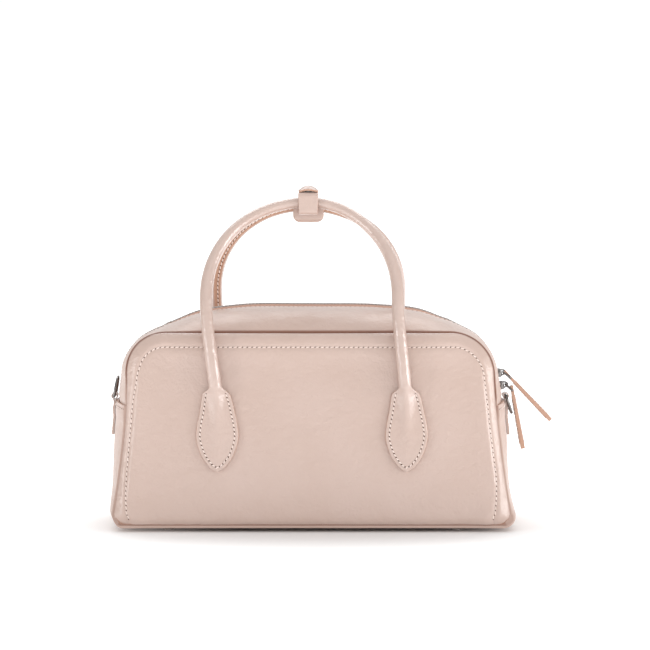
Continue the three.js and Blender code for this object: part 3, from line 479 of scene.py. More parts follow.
def border_corner(facing):
    def place(station, row):
        step, share = row
        width = join_inset(station)
        inset = blend(border_edge + step, width, share)
        x, z = inset_point(station, inset)
        z = max(z, panel_low)
        rise = border_height_at(x, z) * math.sin(min(inset / width, 1) * math.pi / 2)
        turned = lip(inset - border_edge, seam_lip)
        # painted shade in the outer seam, and in the base seam below
        painted_shade = max((1 - (inset - border_edge) / seam_shade_width) * seam_shade(station), base_seam_shade(z))
        return front_point(facing, x, z, rise - turned + front_relief(x, z, inset - width)), painted_shade
    return place


def join_pieces(name, pieces):
    bpy.ops.object.select_all(action="DESELECT")
    for piece in pieces:
        piece.select_set(True)
    bpy.context.view_layer.objects.active = pieces[0]
    bpy.ops.object.join()
    pieces[0].name = pieces[0].data.name = name
    return pieces[0]


def joined_copies(name, template, matrices, material):
    """One mesh of many copies of a small template, which is used up."""
    corners = np.array([corner.co for corner in template.data.vertices])
    faces = [list(face.vertices) for face in template.data.polygons]
    placed = [corners @ np.array(matrix.to_3x3()).T + np.array(matrix.translation) for matrix in matrices]
    shifted = [[corner + copy * len(corners) for corner in face]
               for copy in range(len(placed)) for face in faces]
    mesh = bpy.data.meshes.new(name)
    mesh.from_pydata(np.concatenate(placed).tolist(), [], shifted)
    mesh.materials.append(material)
    bpy.data.objects.remove(template)
    piece = bpy.data.objects.new(name, mesh)
    bpy.context.scene.collection.objects.link(piece)
    mesh.shade_smooth()
    return piece


def pellet(length, width, height, segments, rings):
    bpy.ops.object.select_all(action="DESELECT")
    bpy.ops.mesh.primitive_uv_sphere_add(
        segments=segments, ring_count=rings, radius=1, rotation=(0, math.pi / 2, 0))
    bpy.ops.object.transform_apply(rotation=True)
    bpy.ops.transform.resize(value=(length / 2, width / 2, height / 2))
    bpy.ops.object.transform_apply(scale=True)
    return bpy.context.object


def run_along(points):
    return np.concatenate([[0], np.cumsum(np.linalg.norm(np.diff(points, axis=0), axis=1))])


def point_along(distance, run, points):
    return Vector([np.interp(distance, run, column) for column in points.T])


def turned_to(place, along, up):
    return Matrix.Translation(place) @ Matrix((along, up.cross(along), up)).transposed().to_4x4()


def stitch_row(name, path, pitch=stitch_pitch, slant=12, hole=hole_radius):
    """Stitches along a row of (point, normal) pairs: threads, and a dark disc of painted shade at each needle
    hole.
    """
    points, normals = (np.array(column) for column in zip(*path))
    run = run_along(points)
    count = max(round(run[-1] / pitch), 1)

    def frame_at(distance, turn):
        normal = point_along(distance, run, normals).normalized()
        behind, here, ahead = (point_along(distance + step, run, points) for step in tangent_steps)
        along = (ahead - behind).normalized()
        along = (along - normal * along.dot(normal)).normalized()
        return turned_to(here, Matrix.Rotation(math.radians(turn), 3, normal) @ along, normal)

    step = run[-1] / count
    threads = [frame_at((order + 0.5) * step, slant) for order in range(count)]
    holes = [frame_at(order * step, 2 * slant) for order in range(count + 1)]
    thread_shape = pellet(0.88 * step, 2 * thread_radius, 2 * thread_radius, 6, 6)
    thread_piece = joined_copies(name, thread_shape, threads, thread)
    hole_shape = pellet(2.4 * hole, 1.8 * hole, 0.7 * hole, 6, 4)
    return join_pieces(name, [thread_piece, joined_copies(name + "_holes", hole_shape, holes, needle_hole_shade)])


# Bonded polyester thread: twisted, with a low sheen, dyed a shade paler than the leather.
thread = mottled("twisted polyester thread", ("e4cdc1", "f6eae3"), 0.0006, 1.0, {
    "Roughness": 0.55, "Sheen Weight": 0.2})
# Needle hole: painted shade, a dark brown disc on the leather in place of the shadow in the hole.
needle_hole_shade = mottled("painted needle hole shade", ("3f2519", "5a3a2a"), 0.0003, 2.0, {
    "Roughness": 0.9, "Specular IOR Level": 0.1})

for side_name, facing in facings.items():
    border = leather_sheet(f"{side_name}_border_leather", front_stations, border_rows, border_corner(facing),
                           border_wall, [leather, edge_paint])
    dress(border, "blush_leather", f"{side_name}_border")
    path = []
    for station in spread(front_stations[3], front_stations[-4], 300):
        x, z = inset_point(station, join_inset(station) + stitch_past)
        proud = panel_proud(x, z, stitch_past) + thread_lift
        path.append((front_point(facing, x, z, proud), Vector((0, facing, 0))))
    dress(stitch_row(f"{side_name}_border_stitches", path), "blush_leather")

# Gussets: a lower strip of leather runs down one side, under the base and up the other side, and two upper
# strips carry the zip over the top. All bulge between the panel seams, into which their edges are turned. The
# lower strip's painted ends lap the upper strips and are stitched down.
gusset_wall = 0.0018
gusset_round = 2.2  # exponent of the bulge across the depth
base_round = 45.0  # the base is flat, with a tight roll at each edge
top_round = 3.0  # the top is fuller than the sides
gusset_ripple = 0.0003
seam_flange = 0.0014  # the turned edge runs on this far under the border
base_pipe, base_pipe_width = 0.0009, 0.0026  # the base's edge swells forward like piping
base_setback, top_setback, side_setback = 0.0002, 0.0006, 0.0021  # of the turned edges from the seam plane
gusset_lip = 0.0011
base_end = (1.1, 1.6)  # stages over which the base's tight edge becomes the sides' one
# painted shade reaches this far along the base's turned edges
base_shade_width = 0.0003
lap_stage, lap_length, lap_ramp, lap_stitch = 2.77, 0.07, 0.06, 0.03
lap_shift = 0.0011  # the lower strip rises and the upper ones sink by this much in the lap
zip_channel = 0.007  # half width between the upper strips
zip_stitch = 0.003  # from the edge beside the zip to its row of stitching
furrow_depth, furrow_width = 0.0003, 0.0006
bulge_table = table(
    "stage left right",
    (0.0, 0.0026, 0.0026),
    (1.0, 0.0028, 0.0028),
    (2.0, 0.0036, 0.0040),
    (2.1, 0.0053, 0.0036),
    (2.25, 0.0071, 0.0046),
    (2.55, 0.0093, 0.0073),
    (2.8, 0.0084, 0.0064),
    (3.0, 0.0060, 0.0042),
    (3.5, 0.0014, 0.0024),
    (4.0, 0.0034, 0.0058),
    (4.2, 0.0106, 0.0122),
    (4.5, 0.0153, 0.0154),
    (5.0, 0.0162, 0.0162))


def gusset_point(side, stage, across, offset):
    """A point of the gusset. Across runs from -1 at the front seam to 1 at the back one."""
    x, z, out_x, out_z = seam_at(stage)
    bulge = read_table(bulge_table, "left" if side < 0 else "right", stage)
    fullness = blend(base_round, gusset_round, smooth(1.2, 2.2, stage))
    fullness = blend(fullness, top_round, smooth(3.3, 4.2, stage))
    half = half_depth_at(z)
    slack = (1 - abs(across) ** 4) * (1 - 0.7 * smooth(3.8, 4.2, stage))
    ripple = slack * gusset_ripple * noise.noise((side * x * 22 + 4.0, across * 2.1, z * 22))
    out = bulge * (1 - min(abs(across), 1) ** fullness) + offset + ripple
    z = z + out_z * out
    return Vector((bag_x + side * (x + out_x * out) + lean_at(z), across * half, z))


def turned_across(stage, distance):
    """The place across the gusset at a distance from its turned edge, and how far the edge has sunk there."""
    x, z = seam_at(stage)[:2]
    setback = blend(base_setback, blend(top_setback, side_setback, side_share(x, z)), smooth(1.0, 1.8, stage))
    distance = max(distance, -min(seam_flange, setback))
    sunk = lip(distance, blend(base_lip, gusset_lip, smooth(*base_end, stage))) + 0.8 * max(-distance, 0)
    return 1 - (setback + distance) / half_depth_at(z), sunk


def lap_step(across, climb):
    return lap_shift * clamp(climb / lap_ramp) * (1 - 0.7 * abs(across) ** 6)


def lap_lift(stage, across):
    return lap_step(across, stage - lap_stage + lap_length + lap_ramp)


edge_distances = [-seam_flange, 0, 0.00005, 0.00015, 0.0003, 0.0005, 0.0008, 0.0011, 0.0016, 0.0023, 0.0036,
                  0.006, 0.009, 0.013, 0.018, 0.024, 0.031, 0.039]
lower_half = [*spread(0, 1, 18), *spread(1, 2, 12)[1:], *spread(2, lap_stage - lap_length, 26)[1:],
              *spread(lap_stage - lap_length, lap_stage, 4)[1:]]
lower_stations = [-stage for stage in reversed(lower_half)] + lower_half[1:]
lower_rows = [(-1, distance) for distance in edge_distances] + [(0, 0)]
lower_rows += [(1, distance) for distance in reversed(edge_distances)]


def lower_corner(station, row):
    side, stage = side_of(station), abs(station)
    end, distance = row
    across, sunk = turned_across(stage, distance)
    # painted shade along the turned edges, darker in the base seam
    painted_shade_width = blend(base_shade_width, seam_shade_width, smooth(*base_end, stage))
    painted_shade = clamp(1 - distance / painted_shade_width) if end else 0
    painted_shade *= seam_shade(side * (5 - stage)) if stage > 1.3 else base_shade
    offset = lap_lift(stage, end * across) - (sunk if end else 0)
    point = gusset_point(side, stage, end * across, offset)
    piped = math.sin(math.pi * clamp(distance / base_pipe_width)) * smooth(*reversed(base_end), stage)
    point.y += end * base_pipe * piped
    return point, painted_shade


def glazed_by_height(name, heights, weights, constants):
    """The same hide with more glaze above than below."""
    material = leather.copy()
    material.name = name
    tree = material.node_tree
    shader = tree.nodes["Principled BSDF"]
    place = add_node(tree, "TexCoord").outputs["Object"]
    height = add_node(tree, "SeparateXYZ", {"Vector": place}).outputs["Z"]
    glaze = add_node(tree, "MapRange", {"Value": height, "From Min": heights[0], "From Max": heights[1],
                                        "To Min": weights[0], "To Max": weights[1]})
    tree.links.new(glaze.outputs["Result"], shader.inputs["Coat Weight"])
    for socket, value in constants.items():
        shader.inputs[socket].default_value = value
    return material


# Soft calf leather: the hide of the gusset strips. It keeps some glaze over the top, and has lost most of it
# down the sides, where the strips are worked soft to bend.
soft_leather = glazed_by_height("soft blush calf leather", (0.128, 0.148), (0.1, 0.65), {
    "Coat Roughness": 0.28, "Specular IOR Level": 0.2})
lower_gusset = leather_sheet(
    "lower_gusset_leather", lower_stations, lower_rows, lower_corner, gusset_wall, [soft_leather, edge_paint])
dress(lower_gusset, "blush_leather", "lower_gusset")

upper_half = [*spread(lap_stage - lap_length, lap_stage, 3), *spread(lap_stage, 3, 8)[1:],
              *spread(3, 4, 26)[1:], *spread(4, 5, 36)[1:]]
upper_stations = [stage - 5 for stage in upper_half] + [5 - stage for stage in reversed(upper_half[:-1])]
channel_distances = [0, 0.0001, 0.0003, 0.0006, 0.001, 0.0014, 0.002, 0.0027, 0.0031, 0.0036, 0.0045, 0.006,
                     0.009]
upper_rows = [("zip", distance) for distance in channel_distances]
upper_rows += [("skin", share) for share in (0.2, 0.4, 0.6, 0.8)]
upper_rows += [("seam", distance) for distance in reversed(edge_distances[:14])]


def half_depth_of(station):
    return half_depth_at(seam_at(5 - abs(station))[1])


def upper_point(station, across, offset):
    stage = 5 - abs(station)
    sunk = lap_step(across, lap_stage + lap_ramp - stage)
    return gusset_point(side_of(station), stage, across, offset - sunk)


def upper_corner(facing):
    def place(station, row):
        kind, distance = row
        stage, half = 5 - abs(station), half_depth_of(station)
        painted_shade, offset = 0, 0
        if kind == "zip":
            across = (zip_channel + distance) / half
            offset = -lip(distance, gusset_lip) - furrow_depth * hump(distance - zip_stitch, furrow_width)
        elif kind == "seam":
            across, sunk = turned_across(stage, distance)
            offset = -sunk
            # painted shade along the turned edge in the outer seam
            painted_shade = clamp(1 - distance / seam_shade_width) * seam_shade(station)
        else:
            seam_side = turned_across(stage, 0)[0] - edge_distances[13] / half
            across = blend((zip_channel + channel_distances[-1]) / half, seam_side, distance)
        return upper_point(station, facing * across, offset), painted_shade
    return place


def raised_path(surface, places, lift):
    """(Point, normal) pairs along a surface, which is a function of a place on it and a height over it."""
    path = []
    for place in places:
        point, above = surface(place, lift), surface(place, 0.001)
        path.append((point, (above - point).normalized()))
    return path


for side_name, facing in facings.items():
    upper = leather_sheet(f"top_gusset_{side_name}_leather", upper_stations, upper_rows, upper_corner(facing),
                          gusset_wall, [soft_leather, edge_paint])
    dress(upper, "blush_leather", f"top_gusset_{side_name}")

    def beside_zip(station, offset):
        return upper_point(station, facing * (zip_channel + zip_stitch) / half_depth_of(station), offset)

    path = raised_path(beside_zip, spread(upper_stations[4], upper_stations[-5], 260), -0.00015)
    dress(stitch_row(f"top_gusset_{side_name}_stitches", path), "blush_leather")

for side_name, side in (("left", -1), ("right", 1)):
    stage = lap_stage - lap_stitch

    def on_lap(across, offset):
        return gusset_point(side, stage, across, lap_lift(stage, across) + offset)

    path = raised_path(on_lap, spread(-0.93, 0.93, 60), 0.0001)
    dress(stitch_row(f"{side_name}_lap_stitches", path), "blush_leather")

# Zip: a woven tape stitched under the edges of the upper strips, with a closed chain of nickel teeth. The
# teeth of the two sides stand in turn along the middle.
tape_half, tape_wall, zip_length = 0.010, 0.001, 0.36
tape_drop = 0.0010  # the tape's face under the leather's
tape_rise, teeth_rise = 0.0017, 0.0015  # over the top the closed chain pushes the tape's middle up
rise_stages, rise_edge = (3.8, 4.3), (0.0034, 0.0075)
bead_height, bead_place, bead_width = 0.0005, 0.0039, 0.0006  # the tape's corded edge beside the teeth
tooth_pitch = 0.00245  # on each side
tooth_size = (0.00115, 0.0034, 0.0020)  # along the zip, across it, high
tooth_reach = 0.0012  # centre of a tooth from the middle line
teeth_end = 2.9  # stage where the chain stops
teeth_proud = 0.0005
yarn_pitch = 0.0006

# Woven polyester tape: a tight twill, matt, dyed to the leather.
tape_cloth, tree, shader = new_material("twill polyester zip tape", {"Roughness": 0.8})
place = add_node(tree, "UVMap").outputs["UV"]
weave = add_node(tree, "TexWave", {"Vector": place, "Scale": 0.5 / yarn_pitch / 3.14, "Distortion": 0.4},
                 bands_direction="DIAGONAL").outputs["Fac"]
tint = add_node(tree, "ValToRGB", {"Fac": weave})
for element, colour in zip(tint.color_ramp.elements, ("b98f7e", "d2ad9c")):
    element.color = linear(colour)
tree.links.new(tint.outputs["Color"], shader.inputs["Base Color"])
weave_bump = add_node(tree, "Bump", {"Height": weave, "Distance": 0.0002, "Strength": 0.6})
tree.links.new(weave_bump.outputs["Normal"], shader.inputs["Normal"])


def plated(name, colour, size, detail, wear):
    """A plated metal, worn unevenly at a real size."""
    metal, tree, shader = new_material(name, {"Base Color": linear(colour), "Metallic": 1.0})
    place = add_node(tree, "TexCoord").outputs["Object"]
    scuff = add_node(tree, "TexNoise", {"Vector": place, "Scale": 1 / size, "Detail": detail}).outputs["Fac"]
    rough = add_node(tree, "MapRange", {"Value": scuff, "To Min": wear[0], "To Max": wear[1]})
    tree.links.new(rough.outputs["Result"], shader.inputs["Roughness"])
    return metal


# Bright nickel: the paler plating of the teeth and the feet, dulled by what runs and stands on it.
bright_nickel = plated("rubbed bright nickel plating", "b4aeaa", 0.003, 2.0, (0.25, 0.4))

tape_edge = [0.003, 0.0034, 0.0039, 0.0044, 0.005, 0.0058, 0.0066, 0.0075, tape_half]
tape_rows = [-across for across in reversed(tape_edge)] + tape_edge


def zip_rise(station):
    return smooth(*rise_stages, 5 - abs(station))


def tape_corner(station, across):
    bead = bead_height * hump(abs(across) - bead_place, bead_width)
    rise = tape_rise * (1 - smooth(*rise_edge, abs(across))) * zip_rise(station)
    return upper_point(station, across / half_depth_of(station), bead + rise - tape_drop), 0


tape = leather_sheet("zip_tape_cloth", upper_stations, tape_rows, tape_corner, tape_wall, [tape_cloth])
for loop in tape.data.uv_layers.active.data:
    loop.uv = (loop.uv[0] * zip_length, loop.uv[1] * 2 * tape_half)
dress(tape, "zip_tape", "zip_tape")

zip_line = np.array([upper_point(station, 0, teeth_rise * zip_rise(station))
                     for station in spread(teeth_end - 5, 5 - teeth_end, 500)])
zip_run = run_along(zip_line)
tooth_frames = []
for order in range(int(2 * zip_run[-1] / tooth_pitch)):
    distance = (order + 0.5) * tooth_pitch / 2
    here, ahead = (point_along(distance + step, zip_run, zip_line) for step in (0, 0.0005))
    along = (ahead - here).normalized()
    up = along.cross(Vector((0, 1, 0))).normalized()
    up = up if up.dot(here - bag_middle) > 0 else -up
    aside = Vector((0, tooth_reach if order % 2 else -tooth_reach, 0))
    tooth_frames.append(turned_to(here + up * (teeth_proud - tooth_size[2] / 2) + aside, along, up))


def block(name, size, bevel, steps=2, place=(0, 0, 0)):
    bpy.ops.object.select_all(action="DESELECT")
    bpy.ops.mesh.primitive_cube_add(size=1, location=place)
    made = bpy.context.object
    made.name = made.data.name = name
    bpy.ops.transform.resize(value=size)
    bpy.ops.object.transform_apply(location=True, scale=True)
    if bevel:
        apply_modifier(made, "BEVEL", width=bevel, segments=steps, limit_method="ANGLE")
    return made


teeth = joined_copies("zip_teeth_chain", block("tooth", tooth_size, 0.0003, 1), tooth_frames, bright_nickel)
dress(teeth, "nickel_metal", "zip_teeth")

# Zip sliders: two cast nickel sliders parked at the right end of the zip. Each has a low plate with flanks
# turned down and an arched bail, through which a wire link carries a leather pull of two bonded layers.
slider_size, flank_size = (0.0062, 0.0086, 0.0015), (0.0058, 0.0009, 0.0018)
crown_size, crown_lift = (0.0044, 0.0042, 0.0010), 0.0002
slider_base = 0.0011  # underside of the plate over the zip's line
bail_height, bail_half, bail_width, bail_wire = 0.0042, 0.0022, 0.0022, 0.0006
link_wire, link_length, link_half, link_corner = 0.0008, 0.0066, 0.004, 0.0012
link_from = 0.00435  # from the zip's line to the link's upper bar
pull_half, pull_end_half = 0.0011, 0.0015
pull_width, pull_end_width = 0.006, 0.009
pull_stitch_pitch, pull_stitch_end, pull_stitch_inset = 0.003, 0.004, 0.0017
pull_bevel, sharp_edge, weld_reach = 0.0006, math.radians(50), 0.000002
# Nickel-plated zinc: a bright polished plating, a little scuffed.
nickel = plated("polished nickel plating", "7d7977", 0.002, 4.0, (0.10, 0.2))
sliders = table(
    "name height link_lean pull_lean pull_length pull_start",
    ("upper", 0.108, 52, 43.5, 0.0420, 0.0066),
    ("lower", 0.0988, 48, 10.5, 0.0425, 0.0036))


def stage_at(z):
    low, high = 1.0, 4.0
    for _ in range(40):
        half_way = (low + high) / 2
        low, high = (half_way, high) if seam_at(half_way)[1] < z else (low, half_way)
    return low


def weld(filled=False, facing_out=True):
    """Closes the seams of the piece just made."""
    bpy.ops.object.mode_set(mode="EDIT")
    bpy.ops.mesh.select_all(action="SELECT")
    bpy.ops.mesh.remove_doubles(threshold=weld_reach)
    if filled:
        bpy.ops.mesh.fill_holes(sides=0)
    if facing_out:
        bpy.ops.mesh.normals_make_consistent(inside=False)
    bpy.ops.object.mode_set(mode="OBJECT")


def tube_loop(name, path, radius, material, sides=14):
    """A closed wire through the points of a flat path."""
    path = [Vector(point) for point in path]
    count = len(path)
    across = sum((a.cross(b) for a, b in zip(path, path[1:] + path[:1])), Vector()).normalized()

    def place(row, column):
        here, after, before = path[row % count], path[(row + 1) % count], path[(row - 1) % count]
        outward = (after - before).normalized().cross(across)
        angle = 2 * math.pi * column / sides
        return here + outward * (radius * math.cos(angle)) + across * (radius * math.sin(angle)), 0

    middle = sum(path, Vector()) / count
    wire = placed_grid(name, range(count + 1), range(sides + 1), place, middle, [material])
    weld()
    bpy.ops.object.shade_smooth()
    return wire


def arc_points(centre, radii, start, end, count):
    return [(centre[0] + radii[0] * math.cos(math.radians(angle)),
             centre[1] + radii[1] * math.sin(math.radians(angle))) for angle in spread(start, end, count)]


def hung_path(bar, angle, side, outline):
    """A flat outline of (across, drop) pairs that hangs from a bar, swung out by an angle."""
    way = Vector((side * math.sin(math.radians(angle)), 0, -math.cos(math.radians(angle))))
    return way, [bar + way * drop + Vector((0, across, 0)) for across, drop in outline]


link_side, link_far = link_half - link_corner, link_length - link_corner
link_outline = []
for start, centre in zip((-90, 0, 90, 180), ((link_side, link_corner), (link_side, link_far),
                                             (-link_side, link_far), (-link_side, link_corner))):
    link_outline += arc_points(centre, (link_corner, link_corner), start, start + 90, 5)
for row in sliders:
    name = row["name"]
    stage = stage_at(row["height"])
    seat = gusset_point(1, stage, 0, 0)
    along = (gusset_point(1, stage + 0.01, 0, 0) - seat).normalized()
    out = Vector((0, 1, 0)).cross(along)
    plate_top, flank_y = slider_base + slider_size[2], (slider_size[1] - flank_size[1]) / 2
    parts = [block("plate", slider_size, 0.0007, 3, (0, 0, slider_base + slider_size[2] / 2))]
    parts += [block("flank", flank_size, 0.0003, 2, (0, side * flank_y, slider_base)) for side in (-1, 1)]
    parts.append(block("crown", crown_size, 0.0005, 3, (0, 0, plate_top + crown_lift)))
    for part in parts:
        part.data.materials.append(nickel)
    bail_foot = slider_base + 0.0006
    bail_path = [(x, 0, z) for x, z in arc_points((0, bail_foot), (bail_half, bail_height), 0, 180, 12)]
    bail_path += [(x, 0, bail_foot - 0.0004) for x in (-bail_half * 0.5, bail_half * 0.5)]
    bail = tube_loop("bail", bail_path, bail_wire, nickel, 10)
    for corner in bail.data.vertices:
        corner.co.y *= bail_width / (2 * bail_wire)
    slider = join_pieces(f"{name}_slider_metal", [*parts, bail])
    turn_to = Matrix((along, Vector((0, 1, 0)), out)).transposed().to_4x4()
    slider.data.transform(Matrix.Translation(seat) @ turn_to)
    shade_by(35)
    dress(slider, "nickel_metal", f"{name}_slider")

    bar = seat + out * link_from
    link_way, link_path = hung_path(bar, row["link_lean"], 1, link_outline)
    link = tube_loop(f"{name}_pull_link_wire", link_path, link_wire, nickel, 12)
    dress(link, "nickel_metal", f"{name}_pull_link")

    # Pull: drawn hanging straight from its eye, with painted edges that show to the front, then swung out.
    length, pull_start = row["pull_length"], row["pull_start"]
    pull = block(f"{name}_pull_leather", (2 * pull_half, pull_width, pull_start + length), 0, 0,
                 (0, 0, (pull_start - length) / 2))
    bpy.ops.object.mode_set(mode="EDIT")
    bpy.ops.mesh.select_all(action="SELECT")
    bpy.ops.mesh.subdivide(number_cuts=11)
    bpy.ops.object.mode_set(mode="OBJECT")
    for corner in pull.data.vertices:
        drop = clamp(-corner.co.z / length)
        corner.co.y *= blend(1, pull_end_width / pull_width, drop)
        corner.co.x *= blend(1, pull_end_half / pull_half, drop ** 2)
    apply_modifier(pull, "BEVEL", width=pull_bevel, segments=3, limit_method="ANGLE", angle_limit=sharp_edge)
    shade_by(40)
    for face in pull.data.polygons:
        face.material_index = 0 if abs(face.normal.x) > 0.7 else 1
    for material in (leather, edge_paint):
        pull.data.materials.append(material)
    swing = Matrix.Rotation(-math.radians(row["pull_lean"]), 4, "Y")
    hung = Matrix.Translation(bar + link_way * link_length) @ swing
    pull.data.transform(hung)
    dress(pull, "edge_painted_leather", f"{name}_pull")
    near, far = -pull_stitch_end, pull_stitch_end - length
    lanes = [(-1, near), (-1, far), (1, far), (1, near)]
    rows = []
    for face_side in (-1, 1):
        path = []
        for (lane, start), (next_lane, end) in zip(lanes, lanes[1:]):
            for share in spread(0, 1, 12)[:-1]:
                drop = blend(start, end, share)
                wide = blend(pull_width, pull_end_width, -drop / length) / 2 - pull_stitch_inset
                thick = face_side * (0.0002 + blend(pull_half, pull_end_half, (drop / length) ** 2))
                point = Vector((thick, blend(lane, next_lane, share) * wide, drop))
                path.append((hung @ point, swing.to_3x3() @ Vector((face_side, 0, 0))))
        rows.append(stitch_row(f"{name}_pull_stitches", path, pull_stitch_pitch))
    dress(join_pieces(f"{name}_pull_stitches", rows), "blush_leather")

# Ring tabs: a short strap on each side is folded round the bar of a nickel D-ring and sewn to the gusset. The
# left ring stands up against the zip, and the right one hangs down.
tab_low, ring_height = 0.063, 0.092
tab_stand, tab_gap, tab_width, tab_wall = 0.0015, 0.0003, 0.013, 0.0007
tab_stitch_top, tab_stitch_pitch = 0.085, 0.003
ring_wire, ring_half, ring_depth, ring_corner = 0.00105, 0.0087, 0.0135, 0.0025
eye_outer, ring_stand_off, eye_arc = 0.0023, 0.003, (-58, 202)
rings = table(
    "name side turn body",
    ("left", -1, 190, "left_ring"),
    ("right", 1, 19, "bag"))
ring_side = ring_half - ring_corner
ring_outline = [
    *arc_points((ring_side, ring_corner), (ring_corner, ring_corner), -90, 0, 6),
    *arc_points((0, ring_corner), (ring_half, ring_depth - ring_corner), 0, 180, 28)[1:-1],
    *arc_points((-ring_side, ring_corner), (ring_corner, ring_corner), 180, 270, 6),
]
for row in rings:
    name, side = row["name"], row["side"]
    bar = gusset_point(side, stage_at(ring_height), 0, 0)
    bar = Vector((bar.x + side * ring_stand_off, 0, ring_height))
    stages = spread(stage_at(tab_low), lap_stage, 14)

    def strap_side(proud):
        return [gusset_point(side, stage, 0, lap_lift(stage, 0) + proud) for stage in stages]

    eye = arc_points((0, 0), (eye_outer, eye_outer), *eye_arc, 18)
    fold = [bar + Vector((side * x, 0, z)) for x, z in eye]
    outer_side = [point for point in strap_side(tab_gap + tab_stand) if point.z < fold[0].z - 0.001]
    inner_side = [point for point in strap_side(tab_gap) if point.z < fold[-1].z - 0.001]
    strap = outer_side + fold + inner_side[::-1]

    def tab_corner(order, across):
        return strap[order] + Vector((0, across, 0)), 0

    tab_rows = spread(-tab_width / 2, tab_width / 2, 10)
    tab = leather_sheet(f"{name}_ring_tab_leather", range(len(strap)), tab_rows, tab_corner, tab_wall,
                        [leather], sum(strap, Vector()) / len(strap))
    dress(tab, "blush_leather", f"{name}_ring_tab")
    outer_face = strap_side(tab_gap + tab_stand + thread_lift)
    rows = []
    for lane in (-1, 1):
        path = [(point + Vector((0, lane * (tab_width / 2 - 0.002), 0)), Vector((side, 0, 0)))
                for point in outer_face if point.z < tab_stitch_top]
        rows.append(stitch_row(f"{name}_ring_tab_stitches", path, tab_stitch_pitch))
    dress(join_pieces(f"{name}_ring_tab_stitches", rows), "blush_leather")

    ring_path = hung_path(bar, row["turn"], side, ring_outline)[1]
    ring = tube_loop(f"{name}_d_ring_wire", ring_path, ring_wire, nickel, 18)
    dress(ring, "nickel_metal", f"{name}_d_ring", body=row["body"])

# Handles: leather rolled round a cord core and closed by a stitched seam on the inner side. Each leg flattens
# into a teardrop tab with painted edges, which is sewn to the panel round its edge.
handle_radius, top_radius = 0.0045, 0.00375
tab_x, arch_half, arch_base = 0.0663, 0.0674, 0.165
arch_full = 0.94  # under 1 makes the arch fuller than an ellipse
apex_depth, leg_standoff, shoulder = 0.0075, 0.0009, 0.105
lean_start, top_focus = 0.080, 8
tab_seat, ridge_width, tube_blend = 0.0003, 0.0046, (0.097, 0.104)
tip_low, tip_round, tip_power = 0.0434, 0.0031, 0.7
tab_top_lip, tab_under_lip, tab_furrow = 0.0009, 0.0004, 0.0002
tab_stitch_inset, tab_stitch_high = 0.0028, 0.0985
tab_stitching = {"pitch": 0.0031, "slant": 14, "hole": 0.00055}  # shorter and steeper than the border's
paint_top, seam_low = 0.1005, 0.112  # the tabs' painted edge ends and the roll's seam begins at these heights
roll_seam, roll_seam_half = math.radians(252), 0.6  # the seam's place round the roll, its band's half width
# the seam's groove round the roll, and the painted shade along it: its strength and width
roll_groove, groove_width, roll_seam_shade, painted_shade_width = 0.0004, 0.16, 0.45, 0.1
groove_start = (0.1, seam_low)
handles = table(
    "name facing lean top_shift apex",
    ("front", -1, -0.0070, 0.0034, 0.2309),
    ("back", 1, -0.0036, -0.001, 0.2281))
teardrop = table(
    "height half flange ridge",
    (0.0465, 0.0056, 0.0025, 0.0028),
    (0.052, 0.0098, 0.0026, 0.0030),
    (0.059, 0.0130, 0.0026, 0.0032),
    (0.067, 0.0149, 0.0026, 0.0036),
    (0.076, 0.0142, 0.0026, 0.0044),
    (0.086, 0.0122, 0.0026, 0.0056),
    (0.095, 0.0104, 0.0027, 0.0070),
    (0.0995, 0.0090, 0.0030, 0.0080),
    (0.103, 0.0060, 0.0036, 0.0088))


def tab_half(z):
    rounded = min(max((z - tip_low) / tip_round, 0.0001), 1) ** tip_power
    return rounded * read_table(teardrop, "half", z)


def tab_height(across, z):
    """Height of the tab's upper side over its seat, at a distance from the tab's middle."""
    flange, ridge = (read_table(teardrop, column, z) for column in ("flange", "ridge"))
    furrow = tab_furrow * hump(tab_half(z) - abs(across) - tab_stitch_inset, furrow_width)
    return flange + (ridge - flange) * hump(across, ridge_width) - furrow


ring_columns = 48
half_ring = ring_columns // 2
tip_heights = [tip_low + tip_round * share for share in (0, 0.03, 0.1, 0.22, 0.4, 0.6, 0.8, 1)]
leg_heights = tip_heights + spread(0.049, 0.096, 19) + spread(0.0975, 0.105, 10) + spread(0.1075, 0.1625, 18)
tab_outline = np.array([(tab_half(z), z) for z in spread(tip_low + 0.0002, 0.0995, 200)])
outline_steps = np.gradient(tab_outline, axis=0)
inward = np.stack([-outline_steps[:, 1], outline_steps[:, 0]], axis=1)
inward /= np.linalg.norm(inward, axis=1)[:, None]
stitch_line = [(across, z) for across, z in tab_outline + tab_stitch_inset * inward
               if across > 0.0003 and z < tab_stitch_high]
stitch_line = stitch_line[::-1] + [(-across, z) for across, z in stitch_line]


def ring_angle(column):
    return 2 * math.pi * (column + 0.5) / ring_columns


def seam_gap(column):
    return abs((ring_angle(column) - roll_seam + math.pi) % (2 * math.pi) - math.pi)


